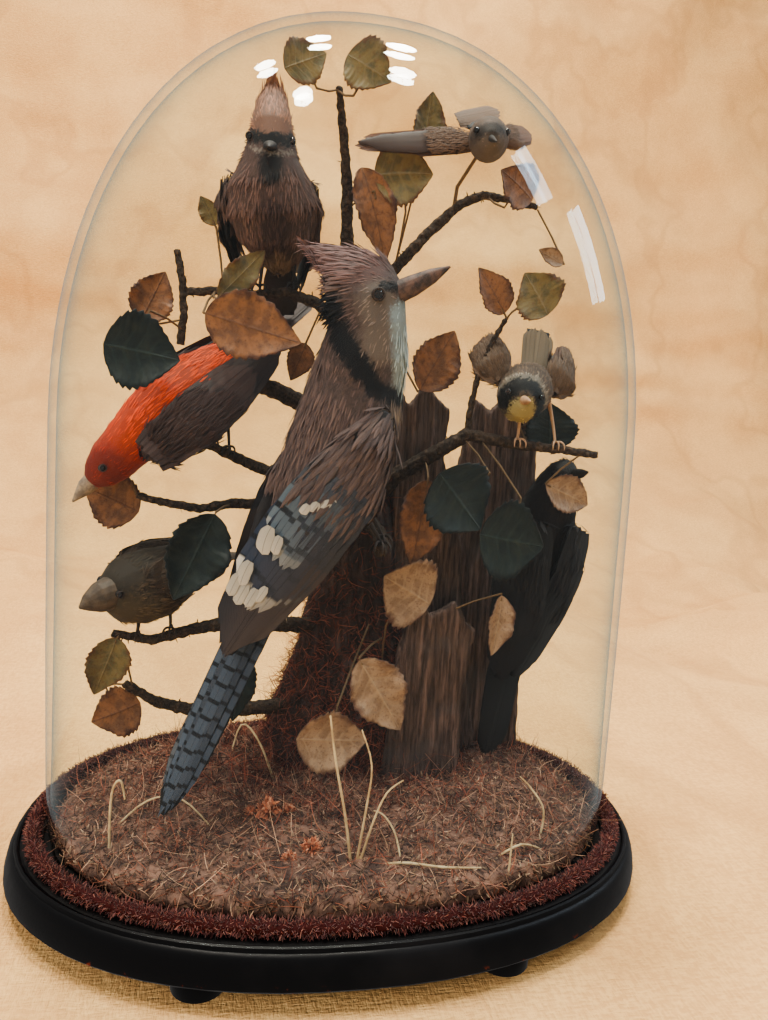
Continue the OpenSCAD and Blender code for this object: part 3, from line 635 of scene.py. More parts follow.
# %% Cut the stump and the bark
def bark_paint(name, dark, light, moss=None, stretch=(1, 1, 0.22), size=3.0):
    """Ridged bark with dark cracks, and moss in patches where a moss colour is given."""
    paint = Paint(name, Roughness=0.88)
    ridges = paint.noise(size, 6, stretch, 0.65)
    patches = paint.noise(22, 4)
    colour = paint.mix(ridges.ramp(0.3, 0.7), dark, light)
    if moss:
        colour = paint.mix(patches.ramp(0.5, 0.72) * 0.7, colour, moss)
    cracks = (paint.cells(size * 2.2, stretch) * -1.0 + 1).ramp(0.45, 0.9)
    # The cracks are darkened partly in the bark's own colour and partly as painted shade in the recesses.
    paint.set("Base Color", paint.mix((1 - cracks) * 0.5, colour, (0.01, 0.007, 0.005, 1)))
    return paint.bump(ridges + cracks * 0.5, 0.9)


stump = roughen(soften(copy_of("tree_stump", "tree_stump_wood"), 1.9, 3), 7, 3.4, (1, 1, 2.4))
roughen(stump, 2.2, 1.1, (1, 1, 2.0))
stump_paint = bark_paint("stump_wood", rgb(44, 34, 34), rgb(104, 84, 80), rgb(110, 70, 60))
done(stump, "base", "dark_bark", stump_paint, "tree_stump")

slabs = roughen(soften(copy_of("bark_slabs", "bark_slab_wood"), 1.3, 2), 5, 2.0, (1, 1, 5))
roughen(slabs, 1.6, 0.6, (1, 1, 7))
slab_paint = bark_paint("slab_wood", rgb(74, 58, 54), rgb(146, 120, 110), rgb(116, 106, 104),
                        (1.2, 1.2, 0.1), 2.0)
done(slabs, "base", "split_bark", slab_paint, "bark_slabs")

# %% Coir on the stump
stump_low, stump_high = (v.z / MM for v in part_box("tree_stump"))


def lower_stump(points, normals):
    """Most of the coir is low down, and a little reaches the top."""
    height = (points[:, 2] - stump_low) / (stump_high - stump_low)
    return np.random.default_rng(8).random(len(points)) < 0.9 - 0.75 * np.clip(height * 1.3, 0, 1)


coir = [felt("coir_short", stump, 20000, 41, 6.5, 0.5, COIR, 1.0, lower_stump, 0.9),
        felt("coir_long", stump, 2600, 44, 15, 0.35, COIR, 1.2, lower_stump, 0.9)]
done(joined("stump_coir", coir), "base", "moss_ground", moss_paint)

# %% Twigs
BRANCHES = sorted(node for node in NODES if node.endswith("_branch") or node == "jay_perch")


def buds(obj, count, seed, length):
    """Short pointed buds and broken side shoots along a twig."""
    at, normal = scatter(obj, count, seed)
    chance = np.random.default_rng(seed)
    return lay(obj.name + "_buds", LANCET, at - normal * 0.3 * MM,
               normal + 0.5 * chance.standard_normal(normal.shape), chance.standard_normal(normal.shape),
               chance.uniform(0.5, 1.4, len(at)) * length * MM, 0.9 * MM,
               tint=varied([rgb(74, 58, 46)], len(at), seed))


twig_paint = bark_paint("twig_bark", rgb(46, 34, 28), rgb(104, 84, 68), None, (1, 1, 1), 1.6)
bud_paint = pile_paint("bud_bark")
for order, node in enumerate(BRANCHES):
    twig = soften(copy_of(node, node + "_wood"), 0.7, 2)
    roughen(twig, 3.0, 0.9)
    roughen(twig, 0.9, 0.25)
    shoots = buds(twig, 26, 60 + order, 2.6)
    done(shoots, "base", "branch_wood", bud_paint)
    done(twig, "base", "branch_wood", twig_paint, node)

# %% [markdown]
# ## Leaves
#
# The leaves are cut from waxed cotton and coloured by hand in four families. Each solid is a flat plate that
# gives a leaf's place, size and slant. The real leaf is a cupped sheet with toothed edges, a sunken midrib
# and raised side veins, so it is grown from a grid over each plate, with a curl and a wave of its own. The
# stalk end is the one that its wire reaches.

# %% Find the leaves of a group
def plates(node):
    """The separate solids of a node, each as an array of points."""
    obj = copy_of(node, "sorting")
    parent = list(range(len(obj.data.vertices)))

    def root(i):
        while parent[i] != i:
            parent[i] = parent[parent[i]]
            i = parent[i]
        return i
    for edge in obj.data.edges:
        a, b = (root(i) for i in edge.vertices)
        parent[a] = b
    points = read(obj)[0]
    groups = {}
    for i in range(len(parent)):
        groups.setdefault(root(i), []).append(i)
    bpy.data.objects.remove(obj)
    return [points[members] for members in groups.values()]


WIRES = np.concatenate(plates("leaf_wires"))


def leaf_frame(points):
    """The stalk end, the direction, the normal and the size of a leaf's plate."""
    middle = points.mean(0)
    axes = np.linalg.svd(points - middle, full_matrices=False)[2]
    reach = (points - middle) @ axes.T
    length, width = np.ptp(reach[:, 0]), np.ptp(reach[:, 1])
    centre = middle + (reach.max(0) + reach.min(0)) / 2 @ axes
    ends = [centre + axes[0] * s * length / 2 for s in (1, -1)]
    gaps = [np.linalg.norm(WIRES - end, axis=1).min() for end in ends]
    stalk, tip = ends if gaps[0] < gaps[1] else ends[::-1]
    normal = axes[2] if axes[2][1] < 0 else -axes[2]
    return stalk, unit(tip - stalk), normal, length, width


# %% Grow one leaf
TEETH, VEINS = 11, 6


def half_width(v):
    """The outline of a leaf, from its stalk at 0 to its point at 1, without its teeth."""
    return math.sin(math.pi * v ** 0.78) ** 0.8 * (1 - 0.25 * v ** 4) if 0 < v < 1 else 0.0


def toothed(v):
    """The outline with its teeth: the width steps in a little after each tooth."""
    step = (v * TEETH) % 1
    return half_width(v) * (1 - 0.11 * (1 - step))


LEAF = blade_shape("leaf", 44, 12, toothed)


def leaf(name, frame_of_leaf, seed):
    """One leaf, cupped across, curled and twisted along, with its veins raised."""
    stalk, along, normal, length, width = frame_of_leaf
    chance = np.random.default_rng(seed)
    points, faces, uv = LEAF
    across, v = uv[:, 0] * 2 - 1, uv[:, 1]
    fall = np.array([half_width(t) for t in v])
    vein = np.abs(np.sin(math.pi * ((v - np.abs(across) * 0.22) * VEINS))) ** 6 * (1 - np.abs(across)) ** 0.3
    cup, curl, wave = chance.uniform(0.1, 0.28), chance.uniform(-0.16, 0.2), chance.uniform(0.02, 0.05)
    phase, twist = chance.uniform(0, 6.28), chance.uniform(-0.35, 0.35)
    z = (-cup * across ** 2 * fall * 0.5 + curl * (v - 0.4) ** 2 + twist * across * fall * (v - 0.4) * 0.5
         + wave * np.sin(v * 17 + phase) * np.abs(across) ** 2 * fall)
    z += 0.012 * vein * fall - 0.02 * np.exp(-(across * fall / 0.05) ** 2) * fall
    shape = (np.column_stack([points[:, :2], z * length / width]), faces, uv)
    return lay(name, shape, [stalk - along * length * 0.01], [along], -normal, length * 1.02, width * 1.08)


# %% Colour the leaves
def leaf_paint(name, body, blotch, edge, vein):
    """A waxed leaf: mottled, darker at its edge, with the veins picked out."""
    paint = Paint(name, Roughness=0.5, Sheen_Weight=0.1)
    u, v = paint.uv()
    across = (u * 2 - 1).abs()
    mottle = paint.noise(5.5, 5)
    fleck = paint.noise(1.1, 3)
    colour = paint.mix(mottle.ramp(0.42, 0.62), body, blotch)
    colour = paint.mix((across * 0.75 + mottle * 0.5).ramp(0.82, 1.05), colour, edge)
    colour = paint.mix((fleck - 0.55).ramp(0, 0.12) * 0.5, colour, edge)
    ribs = (((v - across * 0.22) * (math.pi * VEINS)).sin().abs() ** 14) * (1 - across)
    midrib = (1 - across * 14).ramp(0, 1)
    colour = paint.mix(ribs * 0.55 + midrib * 0.7, colour, vein)
    paint.set("Base Color", colour)
    paint.set("Roughness", 0.42 + fleck * 0.3)
    return paint.bump(ribs * 0.5 + fleck * 0.3 + midrib, 0.25)


LEAF_PAINTS = {
    "leaves_dark_green": leaf_paint("leaf_dark_green", rgb(22, 33, 32), rgb(34, 42, 38), rgb(16, 21, 21),
                                    rgb(42, 56, 52)),
    "leaves_olive": leaf_paint("leaf_olive", rgb(118, 102, 62), rgb(92, 84, 54), rgb(100, 62, 38),
                               rgb(128, 112, 78)),
    "leaves_russet": leaf_paint("leaf_russet", rgb(142, 98, 66), rgb(112, 78, 56), rgb(78, 48, 38),
                                rgb(102, 70, 52)),
    "leaves_straw": leaf_paint("leaf_straw", rgb(156, 130, 106), rgb(134, 108, 86), rgb(98, 68, 54),
                               rgb(170, 146, 120)),
}
for node, paint in LEAF_PAINTS.items():
    found = sorted((leaf_frame(points) for points in plates(node)), key=lambda f: tuple(np.round(f[0], 4)))
    grown = joined(node + "_grown", [leaf(f"{node}_{i}", f, 100 + i) for i, f in enumerate(found)])
    modify(grown, "SOLIDIFY", thickness=0.35 * MM, offset=0)
    done(grown, "base", node.replace("leaves", "leaf"), paint, node)

# %% Wrap the leaf wires
wires = soften(copy_of("leaf_wires", "leaf_wires_wrapped"), 0.35, 2)
paper = Paint("wrapping_paper", Roughness=0.85)
winding = paper.noise(1.2, 3, (1, 1, 3))
paper.set("Base Color", paper.mix(winding, rgb(70, 54, 40), rgb(140, 114, 84))).bump(winding, 0.2)
done(wires, "base", "wrapped_wire", paper, "leaf_wires")
perch_wire = soften(copy_of("hummingbird_wire", "hummingbird_wire_wrapped"), 0.4, 2)
done(perch_wire, "base", "wrapped_wire", paper, "hummingbird_wire")

# %% [markdown]
# ## Grass and dried flowers
#
# A few straw stalks and grass blades stand in the moss with two clusters of dried flowers. A stalk keeps the
# route of its solid. Each flower head is a ball of small petals laid outwards from its solid's middle.

# %% Dress the ground
straw_paint = Paint("dry_straw", Roughness=0.6)
fade = straw_paint.noise(9, 3)
straw_paint.set("Base Color", straw_paint.mix(fade.ramp(0.35, 0.65), rgb(186, 156, 116), rgb(222, 200, 160)))
straw_paint.bump(straw_paint.noise(0.4, 2, (1, 1, 0.1)), 0.15)
stalks = soften(copy_of("grass_stalks", "grass_stalks_dry"), 0.4, 2)
done(stalks, "base", "dry_grass", straw_paint, "grass_stalks")


def ball_of_petals(name, points, seed):
    """Petals all round the middle of a ball, with their tips on its surface."""
    middle, reach = points.mean(0), np.ptp(points[:, 0]) / 2
    chance = np.random.default_rng(seed)
    away = unit(chance.standard_normal((150, 3)) + [0, 0, 0.5])
    return lay(name, LANCET, middle + away * reach * 0.3, away + 0.5 * chance.standard_normal(away.shape),
               chance.standard_normal(away.shape), reach * chance.uniform(0.5, 0.9, 150), reach * 0.5,
               bend=chance.uniform(-0.5, 0.5, 150),
               tint=varied([rgb(226, 152, 116), rgb(236, 176, 142), rgb(204, 126, 94)], 150, seed))


heads = sorted(plates("dried_flowers"), key=lambda p: tuple(np.round(p.mean(0), 4)))
flowers = joined("dried_flower_heads",
                 [ball_of_petals(f"flower_{i}", p, 300 + i) for i, p in enumerate(heads)])
done(flowers, "base", "dried_flower", pile_paint("dried_petal"), "dried_flowers")

# %% [markdown]
# ## Plumage
#
# A bird here is a softened core with thousands of small feathers on it. Three things decide how a feather
# lies: where it stands, which way the plumage flows there, and its colour. The flow is blended from a few
# chosen directions, so that feathers sweep back from the bill, over the crown and down the body. The markings
# are soft-edged patches along lines, such as a collar, a mask or a throat.

# %% Which way feathers lie
def flow(*pairs):
    """A direction everywhere, blended from (place in mm, direction) pairs."""
    spots = np.array([place for place, _ in pairs], float)
    ways = unit(np.array([way for _, way in pairs], float))

    def field(points):
        nearness = 1 / (((points[:, None] - spots[None]) ** 2).sum(2) + 8) ** 2
        return unit(nearness @ ways)
    return field


def swept(bill, tail, lean=0.8):
    """Feathers that leave the bill all round and turn towards the tail."""
    bill, tail = np.array(bill, float), np.array(tail, float)
    return lambda points: unit(unit(points - bill) * lean + unit(tail - bill))


# %% Markings
FLAT = np.array([1, 0.3, 1])


def patch(points, route, reach, edge):
    """1 within reach of a line through some places, 0 beyond it, with an edge that wide. In millimetres.
    Distances from front to back count for less, so that a marking wraps round a body."""
    away = np.full(len(points), 1e9)
    points = points * FLAT
    for start, end in zip(route, route[1:] + route[-1:]):
        start, line = np.array(start) * FLAT, (np.array(end) - np.array(start)) * FLAT
        share = np.clip((points - start) @ line / max(line @ line, 1e-9), 0, 1)
        away = np.minimum(away, np.linalg.norm(points - start - share[:, None] * line, axis=1))
    return np.clip((reach - away) / edge + 0.5, 0, 1)[:, None]


def marked(points, base, markings, seed, spread=0.1):
    """A colour for each place: one of the base colours, with each marking laid over it in turn."""
    chance = np.random.default_rng(seed)
    tint = varied(base, len(points), seed, spread)
    loose = points + chance.standard_normal(points.shape) * 0.7
    for order, (route, reach, edge, colour) in enumerate(markings):
        share = patch(loose, route, reach, edge)
        tint = tint * (1 - share) + varied([colour], len(points), seed + order + 1, spread) * share
    return tint


# %% Feather paint
def plume_paint(name):
    """Tinted barbs, finely streaked, with a soft velvety edge, and painted shade that darkens each root."""
    paint = Paint(name, Sheen_Weight=0.04, Sheen_Roughness=0.4)
    _, v = paint.uv()
    streaks = paint.noise(0.5, 2)
    # shade holds painted shade, darker towards each root, together with the barbs' own fine streaks.
    shade = (v * 0.5 + 0.42 + streaks * 0.22)
    paint.set("Base Color", paint.mix(1.0 - shade, paint.attribute("tint"), (0.004, 0.003, 0.003, 1)))
    return paint.set("Roughness", 0.62 + streaks * 0.2)


def vane_paint(name):
    """A long feather. Its mark attribute holds bars (red), a white tip (green) and how many bars (blue)."""
    paint = Paint(name, Sheen_Weight=0.03)
    u, v = paint.uv()
    across = (u * 2 - 1).abs()
    bars, tip, number = paint.channels(paint.attribute("mark"))
    barbs = ((v + across * 0.12) * 260).sin() * 0.5 + 0.5
    shaft = (1 - across * 15).ramp(0, 1)
    bands = ((v * number * 125.66).sin()).ramp(0.6, 0.9) * bars * (v.ramp(0.05, 0.2))
    # Painted shade darkens each long feather towards its root, under the rows that overlap it. The barbs give
    # its own fine streaks.
    colour = paint.mix(barbs * 0.16 + (1 - v) * 0.25, paint.attribute("tint"), (0.003, 0.003, 0.004, 1))
    colour = paint.mix(bands, colour, rgb(20, 20, 26))
    colour = paint.mix(v.ramp(0.8, 0.84) * tip, colour, rgb(226, 220, 210))
    colour = paint.mix(shaft * 0.5, colour, rgb(30, 24, 22))
    colour = paint.mix(across.ramp(0.86, 1.0) * 0.35, colour, rgb(24, 20, 20))
    paint.set("Base Color", colour).set("Roughness", 0.5 + barbs * 0.15)
    return paint.bump(barbs * 0.3 + shaft, 0.12)


plume, vane = plume_paint("plumage"), vane_paint("flight_feather")


# %% Cover a body
def plumage(bird, count, seed, way, base, markings, length, width, scaled=(), lift=0.07, spread=0.1):
    """Feathers a whole body. scaled holds (place, reach, factor) where feathers are shorter or longer."""
    core = shrink(soften(copy_of(f"{bird}_body", f"{bird}_core"), 0.9, 4), 0.9)
    at, normal = scatter(core, count, seed)
    chance = np.random.default_rng(seed + 1)
    along = way(at / MM)
    along = unit(along - normal * (along * normal).sum(1, keepdims=True))
    along = unit(along + normal * chance.uniform(0.3, 1.4, (count, 1)) * lift
                 + chance.standard_normal(at.shape) * 0.06)
    size = np.ones(count)
    for place, reach, factor in scaled:
        size += (factor - size) * patch(at / MM, [place], reach, 5)[:, 0]
    tint = marked(at / MM + along * (size * length * 0.6)[:, None], base, markings, seed + 2, spread)
    coat = lay(f"{bird}_plumage", LANCET, at - normal * 0.3 * MM, along,
               unit(normal + 0.12 * chance.standard_normal(at.shape)),
               size * length * chance.uniform(0.7, 1.25, count) * MM, np.clip(size, 0.5, 1) * width * MM,
               bend=-0.06, sway=chance.uniform(-0.1, 0.1, count), tint=tint)
    # The core under the feathers takes their colours darkened by a fifth, as painted shade in the gaps. Their
    # paint darkens it further, as it has no UV.
    points = read(core)[0]
    layer = core.data.attributes.new("tint", "FLOAT_COLOR", "POINT")
    core_shade_tint = with_alpha(marked(points / MM, base, markings, seed + 2, 0.0) * 0.8, len(points))
    layer.data.foreach_set("color", core_shade_tint.astype(np.float32).ravel())
    return done(joined(f"{bird}_coat", [coat, core]), "base", f"{bird}_feathers", plume, f"{bird}_body")


# %% [markdown]
# ## Wings and tails
#
# Long feathers lie in rows, like tiles. Each wing solid is measured first: a line down its middle, its width
# at each station, and the side that faces outwards. Rows of one vane shape then start at chosen stations and
# follow the wing to its tip, and every row nearer the shoulder lies a little higher than the last one.

# %% Measure a wing
def parts_of(node):
    """Each separate solid of a node, remeshed finely, as one object."""
    whole = copy_of(node, node + "_part")
    in_edit_mode(whole, lambda: bpy.ops.mesh.separate(type="LOOSE"))
    found = sorted((o for o in bpy.context.view_layer.objects if o.name.startswith(node + "_part")),
                   key=lambda o: tuple(np.round(read(o)[0].mean(0), 4)))
    return [soften(obj, 0.8, 1) for obj in found]


class Spine:
    """The line down a wing or a tail from the end nearest the bill, measured at nine stations."""

    STATIONS = 9

    def __init__(self, points, bill, facing):
        centre = points.mean(0)
        axis, side, out = np.linalg.svd(points - centre, full_matrices=False)[2]
        axis = -axis if (bill - centre) @ axis > 0 else axis
        self.out = out if facing(centre) @ out > 0 else -out
        self.side = np.cross(self.out, axis)
        reach = (points - centre) @ axis
        self.length = np.ptp(reach)
        rows = []
        for step in np.linspace(reach.min(), reach.max(), self.STATIONS):
            near_by = points[np.abs(reach - step) < self.length / self.STATIONS / 1.6] - centre
            across, deep = near_by @ self.side, near_by @ self.out
            rows.append([step, (across.max() + across.min()) / 2, deep.max(), np.ptp(across) / 2])
        self.rows, self.axis, self.centre = np.array(rows), axis, centre

    def spot(self, t, s):
        """The place at t along the wing and s across it, on its outer face."""
        where = np.linspace(0, 1, len(self.rows))
        step, across, deep, half = (np.interp(t, where, self.rows[:, i]) for i in range(4))
        beyond = np.maximum(t - 1, 0) * self.length
        dome = deep - (np.abs(s) ** 2) * half * 0.22
        return (self.centre + np.outer(step + beyond, self.axis) + np.outer(across + s * half, self.side)
                + np.outer(dome, self.out))


# %% Lay rows of long feathers
def rows_of(name, spine, rows, seed):
    """rows holds (start, end, count, width in mm, two colours, two marks); the pairs run across the wing."""
    chance = np.random.default_rng(seed)
    laid = []
    for level, (start, end, count, width, tints, marks) in enumerate(rows):
        s = np.linspace(-0.92, 0.92, count)
        t = start + chance.uniform(-0.012, 0.012, count)
        at, to = spine.spot(t, s), spine.spot(np.full(count, float(end)) - 0.1 * np.abs(s) ** 2, s * 0.9)
        at = at + spine.out * MM * (0.15 + 0.28 * level) + np.outer(0.12 * np.arange(count), spine.out) * MM
        share = (s[:, None] + 1) / 2
        tint = np.array(tints[0])[:3] * (1 - share) + np.array(tints[1])[:3] * share
        mark = np.array(marks[0]) * (1 - share) + np.array(marks[1]) * share
        tint = tint * chance.uniform(0.88, 1.12, (count, 1))
        reach = np.linalg.norm(to - at, axis=1)
        mark[:, 2] *= reach / reach.max()
        laid.append(lay(f"{name}_{level}", VANE, at, to - at, spine.out, reach, width * MM, bend=0.02,
                        sway=chance.uniform(-0.03, 0.03, count), tint=tint, mark=mark))
    return laid


def shoulder(name, solid, spine, seed, cover, reach, size):
    """Small soft feathers over the near end of a wing, fewer and fewer towards their reach."""
    chance = np.random.default_rng(seed)
    at, normal = scatter(solid, 2400, seed)
    t = (at - spine.centre) @ spine.axis / spine.length + 0.5
    kept = t < reach * chance.uniform(0.5, 1.15, len(t))
    at, normal = at[kept] + normal[kept] * 1.1 * MM, normal[kept]
    along = unit(spine.axis - normal * (normal @ spine.axis)[:, None]
                 + chance.standard_normal(at.shape) * 0.08)
    return lay(name, LANCET, at, along, normal, size * chance.uniform(0.7, 1.2, len(at)) * MM,
               size * 0.24 * MM,
               bend=-0.06, tint=varied(cover, len(at), seed, 0.1), mark=np.zeros((len(at), 3)))


def limb(bird, part, bill, rows, seed, under=rgb(40, 34, 32), cover=None, reach=0.34, size=5):
    """Covers the wings or the tail of a bird with rows, over thin cores darkened as painted shade. A wing
    faces away from the body and a tail faces forwards. Small cover feathers blend a wing's shoulder into the
    body."""
    middle = read(NODES[f"{bird}_body"])[0].mean(0)
    forwards = np.array([0, -1.0, 0.1])
    facing = (lambda centre: centre - middle) if part == "wings" else (lambda centre: forwards)
    made = []
    for order, solid in enumerate(parts_of(f"{bird}_{part}")):
        spine = Spine(read(solid)[0], np.array(bill) * MM, facing)
        made += rows_of(f"{bird}_{part}_{order}", spine, rows, seed + order)
        if cover:
            made.append(shoulder(f"{bird}_shoulder_{order}", solid, spine, seed + order, cover, reach, size))
        # The dark core is painted shade in the gaps between the rows.
        made.append(core_tinted(shrink(solid, 0.35), under))
    slot = f"{bird}_{'flight' if part == 'wings' else 'tail'}_feathers"
    return done(joined(f"{bird}_{part}_laid", made), "base", slot, vane, f"{bird}_{part}")


def core_tinted(obj, colour):
    """Gives every point of a core one dark tint as painted shade, and no marks, to share the feathers' paint.
    """
    count = len(obj.data.vertices)
    for label, value in (("tint", colour), ("mark", (0, 0, 0, 1))):
        layer = obj.data.attributes.new(label, "FLOAT_COLOR", "POINT")
        layer.data.foreach_set("color", np.tile(value, count).astype(np.float32))
    return obj


# %% [markdown]
# ## Bills, legs and eyes
#
# A bill keeps the form of its solid, softened and polished. A leg is drawn as curves with a round bevel: one
# down to the ankle, three toes forward over the perch and one back, each ending in a fine claw. The eyes are
# glass, so they only need a deep brown, wet-looking finish and a thin lid round each.

# %% Draw with curves
def cords(name, routes):
    """A mesh of round cords. Each route holds (place in mm, radius in mm) pairs."""
    curve = bpy.data.curves.new(name, "CURVE")
    curve.dimensions, curve.bevel_depth, curve.bevel_resolution, curve.resolution_u = "3D", MM, 2, 5
    curve.use_fill_caps = True
    for route in routes:
        spline = curve.splines.new("NURBS")
        spline.points.add(len(route) - 1)
        for point, (place, radius) in zip(spline.points, route):
            point.co, point.radius = (*[v * MM for v in place], 1), radius
        spline.order_u, spline.use_endpoint_u = 3, True
    obj = bpy.data.objects.new(name, curve)
    bpy.context.collection.objects.link(obj)
    choose(obj)
    bpy.ops.object.convert(target="MESH")
    bpy.ops.object.shade_smooth()
    return bpy.context.active_object


# %% Bills and legs
def horn_paint(name, root, tip):
    """Dull horn, clouded between two colours."""
    paint = Paint(name, Coat_Weight=0.05, Coat_Roughness=0.4)
    cloud = paint.noise(3.5, 4)
    paint.set("Base Color", paint.mix(cloud.ramp(0.35, 0.65), root, tip)).set("Roughness", 0.5 + cloud * 0.2)
    return paint.bump(paint.noise(0.7, 3), 0.08)


def bill(bird, root, tip):
    """The bill of a bird, over its solid."""
    obj = soften(copy_of(f"{bird}_bill", f"{bird}_bill_horn"), 0.35, 2)
    return done(obj, "base", f"{bird}_horn", horn_paint(f"{bird}_bill_paint", root, tip), f"{bird}_bill")


def legs(bird, colour, size=1.0):
    """Legs with three toes forward and one back, from the top to the foot of each solid."""
    routes = []
    for points in plates(f"{bird}_legs"):
        points = points / MM
        top = points[points[:, 2] > points[:, 2].max() - 1.5].mean(0)
        ankle = points[points[:, 2] < points[:, 2].min() + 1.0].mean(0) + np.array([0, 5.0, 3.6])
        routes.append([(top, 1.2 * size), ((top + ankle * 2) / 3 + [0.8, 0, 0], 0.75 * size),
                       (ankle, 0.7 * size)])
        for turn, forward in ((-0.5, -1), (0.0, -1), (0.5, -1), (0.1, 1)):
            toe = np.array([turn * 5, forward * 4.2, 0.2]) * size
            routes.append([(ankle, 0.62 * size), (ankle + toe * 0.5 + [0, 0, 0.7 * size], 0.6 * size),
                           (ankle + toe, 0.5 * size), (ankle + toe * 1.3 + [0, 0, -2.2 * size], 0.38 * size),
                           (ankle + toe * 1.2 + [0, 0, -4.0 * size], 0.1)])
    paint = Paint(f"{bird}_leg_skin", Roughness=0.5)
    scales = paint.noise(0.9, 3)
    darker = tuple(v * 0.4 for v in colour[:3]) + (1,)
    paint.set("Base Color", paint.mix(scales, colour, darker)).bump(scales, 0.12)
    return done(cords(f"{bird}_legs_drawn", routes), "base", f"{bird}_skin", paint, f"{bird}_legs")


# %% Eyes
iris = Paint("eye_glass_brown", Roughness=0.04, Coat_Weight=1.0, Coat_Roughness=0.02)
depth = iris.noise(1.2, 2)
iris.set("Base Color", iris.mix(depth.ramp(0.4, 0.6), rgb(30, 16, 12), rgb(8, 5, 5)))
NODES["glass_eyes"].data.materials.clear()
NODES["glass_eyes"].data.materials.append(iris.material)
lids = []
for order, points in enumerate(plates("glass_eyes")):
    middle, radius = points.mean(0), np.ptp(points[:, 2]) / 2
    head = min((read(NODES[node])[0] for node in NODES if node.endswith("_body")),
               key=lambda body: np.linalg.norm(body - middle, axis=1).min())
    head = head[np.linalg.norm(head - middle, axis=1) < radius * 6].mean(0)
    away = Vector(unit(middle - head))
    bpy.ops.object.select_all(action="DESELECT")
    bpy.ops.mesh.primitive_torus_add(location=Vector(middle) + away * radius * 0.62, major_segments=20,
                                     rotation=away.to_track_quat("Z", "Y").to_euler(), minor_segments=6,
                                     major_radius=radius * 0.84, minor_radius=radius * 0.2)
    lids.append(bpy.context.active_object)
lid_ring = joined("eye_lids", lids)
choose(lid_ring)
bpy.ops.object.transform_apply(location=True, rotation=True, scale=True)
done(lid_ring, "base", "jay_skin", Paint("lid_skin", Base_Color=rgb(62, 50, 46), Roughness=0.7))

# %% [markdown]
# ## The jay
#
# The largest bird stands in front: mauve-grey above, with a crest, a pale face, a black collar and a cream
# vent. Its wing coverts are blue with black bars and white tips, and its long tail is barred down to the tip.

# %% The jay
# A marking is (route, reach, edge, colour), and a row of long feathers is (start, end, count, width,
# (colour at one side, colour at the other), (marks at one side, marks at the other)).
JAY_BILL = (31, -55, 301)
PLAIN = ((0, 0, 0), (0, 0, 0))
MAUVE = [rgb(104, 84, 80), rgb(92, 74, 72), rgb(116, 94, 88)]
NIGHT = rgb(50, 46, 52)
jay_flow = flow(((9, -50, 290), (-1, 0.2, 0.15)), ((2, -46, 297), (-1, 0.1, 0.35)),
                ((-13, -42, 300), (-1, 0.2, 0.3)), ((-29, -36, 308), (-1, 0.2, 0.4)),
                ((-12, -50, 288), (-1, 0.2, -0.15)), ((0, -60, 282), (-0.7, 0.2, -0.7)),
                ((12, -50, 276), (-0.25, 0.1, -1)), ((16, -46, 255), (-0.1, 0, -1)),
                ((-3, -60, 262), (-0.3, 0, -1)), ((-18, -40, 262), (-0.2, 0, -1)),
                ((-10, -55, 225), (-0.28, 0, -1)), ((12, -40, 225), (-0.3, 0, -1)),
                ((-25, -50, 185), (-0.5, 0, -0.85)), ((-41, -36, 150), (-0.5, -0.1, -0.8)))
jay_marks = [
    ([(-8, -44, 300), (-29, -36, 308)], 12, 6, rgb(124, 92, 88)),                           # crest
    ([(0, -56, 283), (4, -56, 274), (2, -56, 266)], 9, 5, rgb(146, 130, 120)),              # cheek
    ([(13, -52, 278), (15, -48, 264), (16, -46, 252)], 7.5, 3, rgb(186, 204, 210)),         # throat
    ([(10, -54, 291), (2, -56, 290)], 2.2, 1.0, rgb(30, 24, 26)),                           # lore
    ([(-18, -54, 280), (-25, -54, 286)], 3.6, 1.4, rgb(24, 22, 27)),                        # collar, nape
    ([(-20, -54, 278), (-13, -58, 264), (-5, -58, 254)], 4.8, 1.4, rgb(22, 20, 25)),        # collar, side
    ([(-5, -58, 254), (2, -56, 246), (18, -48, 242)], 3.8, 1.2, rgb(24, 20, 24)),           # collar, front
    ([(18, -48, 235), (8, -52, 234)], 3.5, 6, rgb(164, 148, 132)),                          # upper breast
    ([(4, -34, 186), (-12, -34, 166), (-32, -36, 142)], 12, 3, rgb(212, 192, 164)),         # vent
]
plumage("jay", 11000, 500, jay_flow, MAUVE, jay_marks, 9, 1.3,
        [((3, -52, 284), 14, 0.42), ((-3, -52, 262), 16, 0.5), ((-24, -38, 305), 9, 0.95)])
limb("jay", "wings", JAY_BILL, [
    (0.48, 1.0, 11, 8, (NIGHT, rgb(84, 70, 66)), PLAIN),
    (0.43, 0.82, 11, 7, (rgb(56, 66, 88), rgb(66, 60, 60)), ((0.9, 1, 0.25), (0, 0, 0.2))),
    (0.36, 0.64, 12, 6, (rgb(108, 124, 138), rgb(62, 58, 62)), ((1, 0.3, 0.16), (0.3, 0, 0.16))),
    (0.29, 0.48, 12, 5.5, (rgb(82, 88, 100), rgb(58, 60, 70)), ((0.8, 0, 0.14), (0.7, 0, 0.14))),
], 520, rgb(62, 54, 54), MAUVE, reach=0.46, size=11)
limb("jay", "tail", JAY_BILL, [
    (0.0, 0.97, 2, 6, (rgb(58, 64, 74), rgb(196, 196, 192)), ((1, 0, 0.7), (0, 1, 0.6))),
    (0.0, 0.98, 5, 5.5, (rgb(62, 68, 80), rgb(54, 60, 72)), ((1, 0, 0.7), (1, 0, 0.7))),
    (0.0, 1.0, 3, 6, (rgb(74, 84, 98), rgb(64, 72, 86)), ((1, 0, 0.7), (1, 0, 0.7))),
    (0.0, 0.42, 4, 5, (rgb(80, 66, 66), rgb(66, 60, 66)), PLAIN),
], 530)
bill("jay", rgb(104, 78, 68), rgb(60, 48, 46))

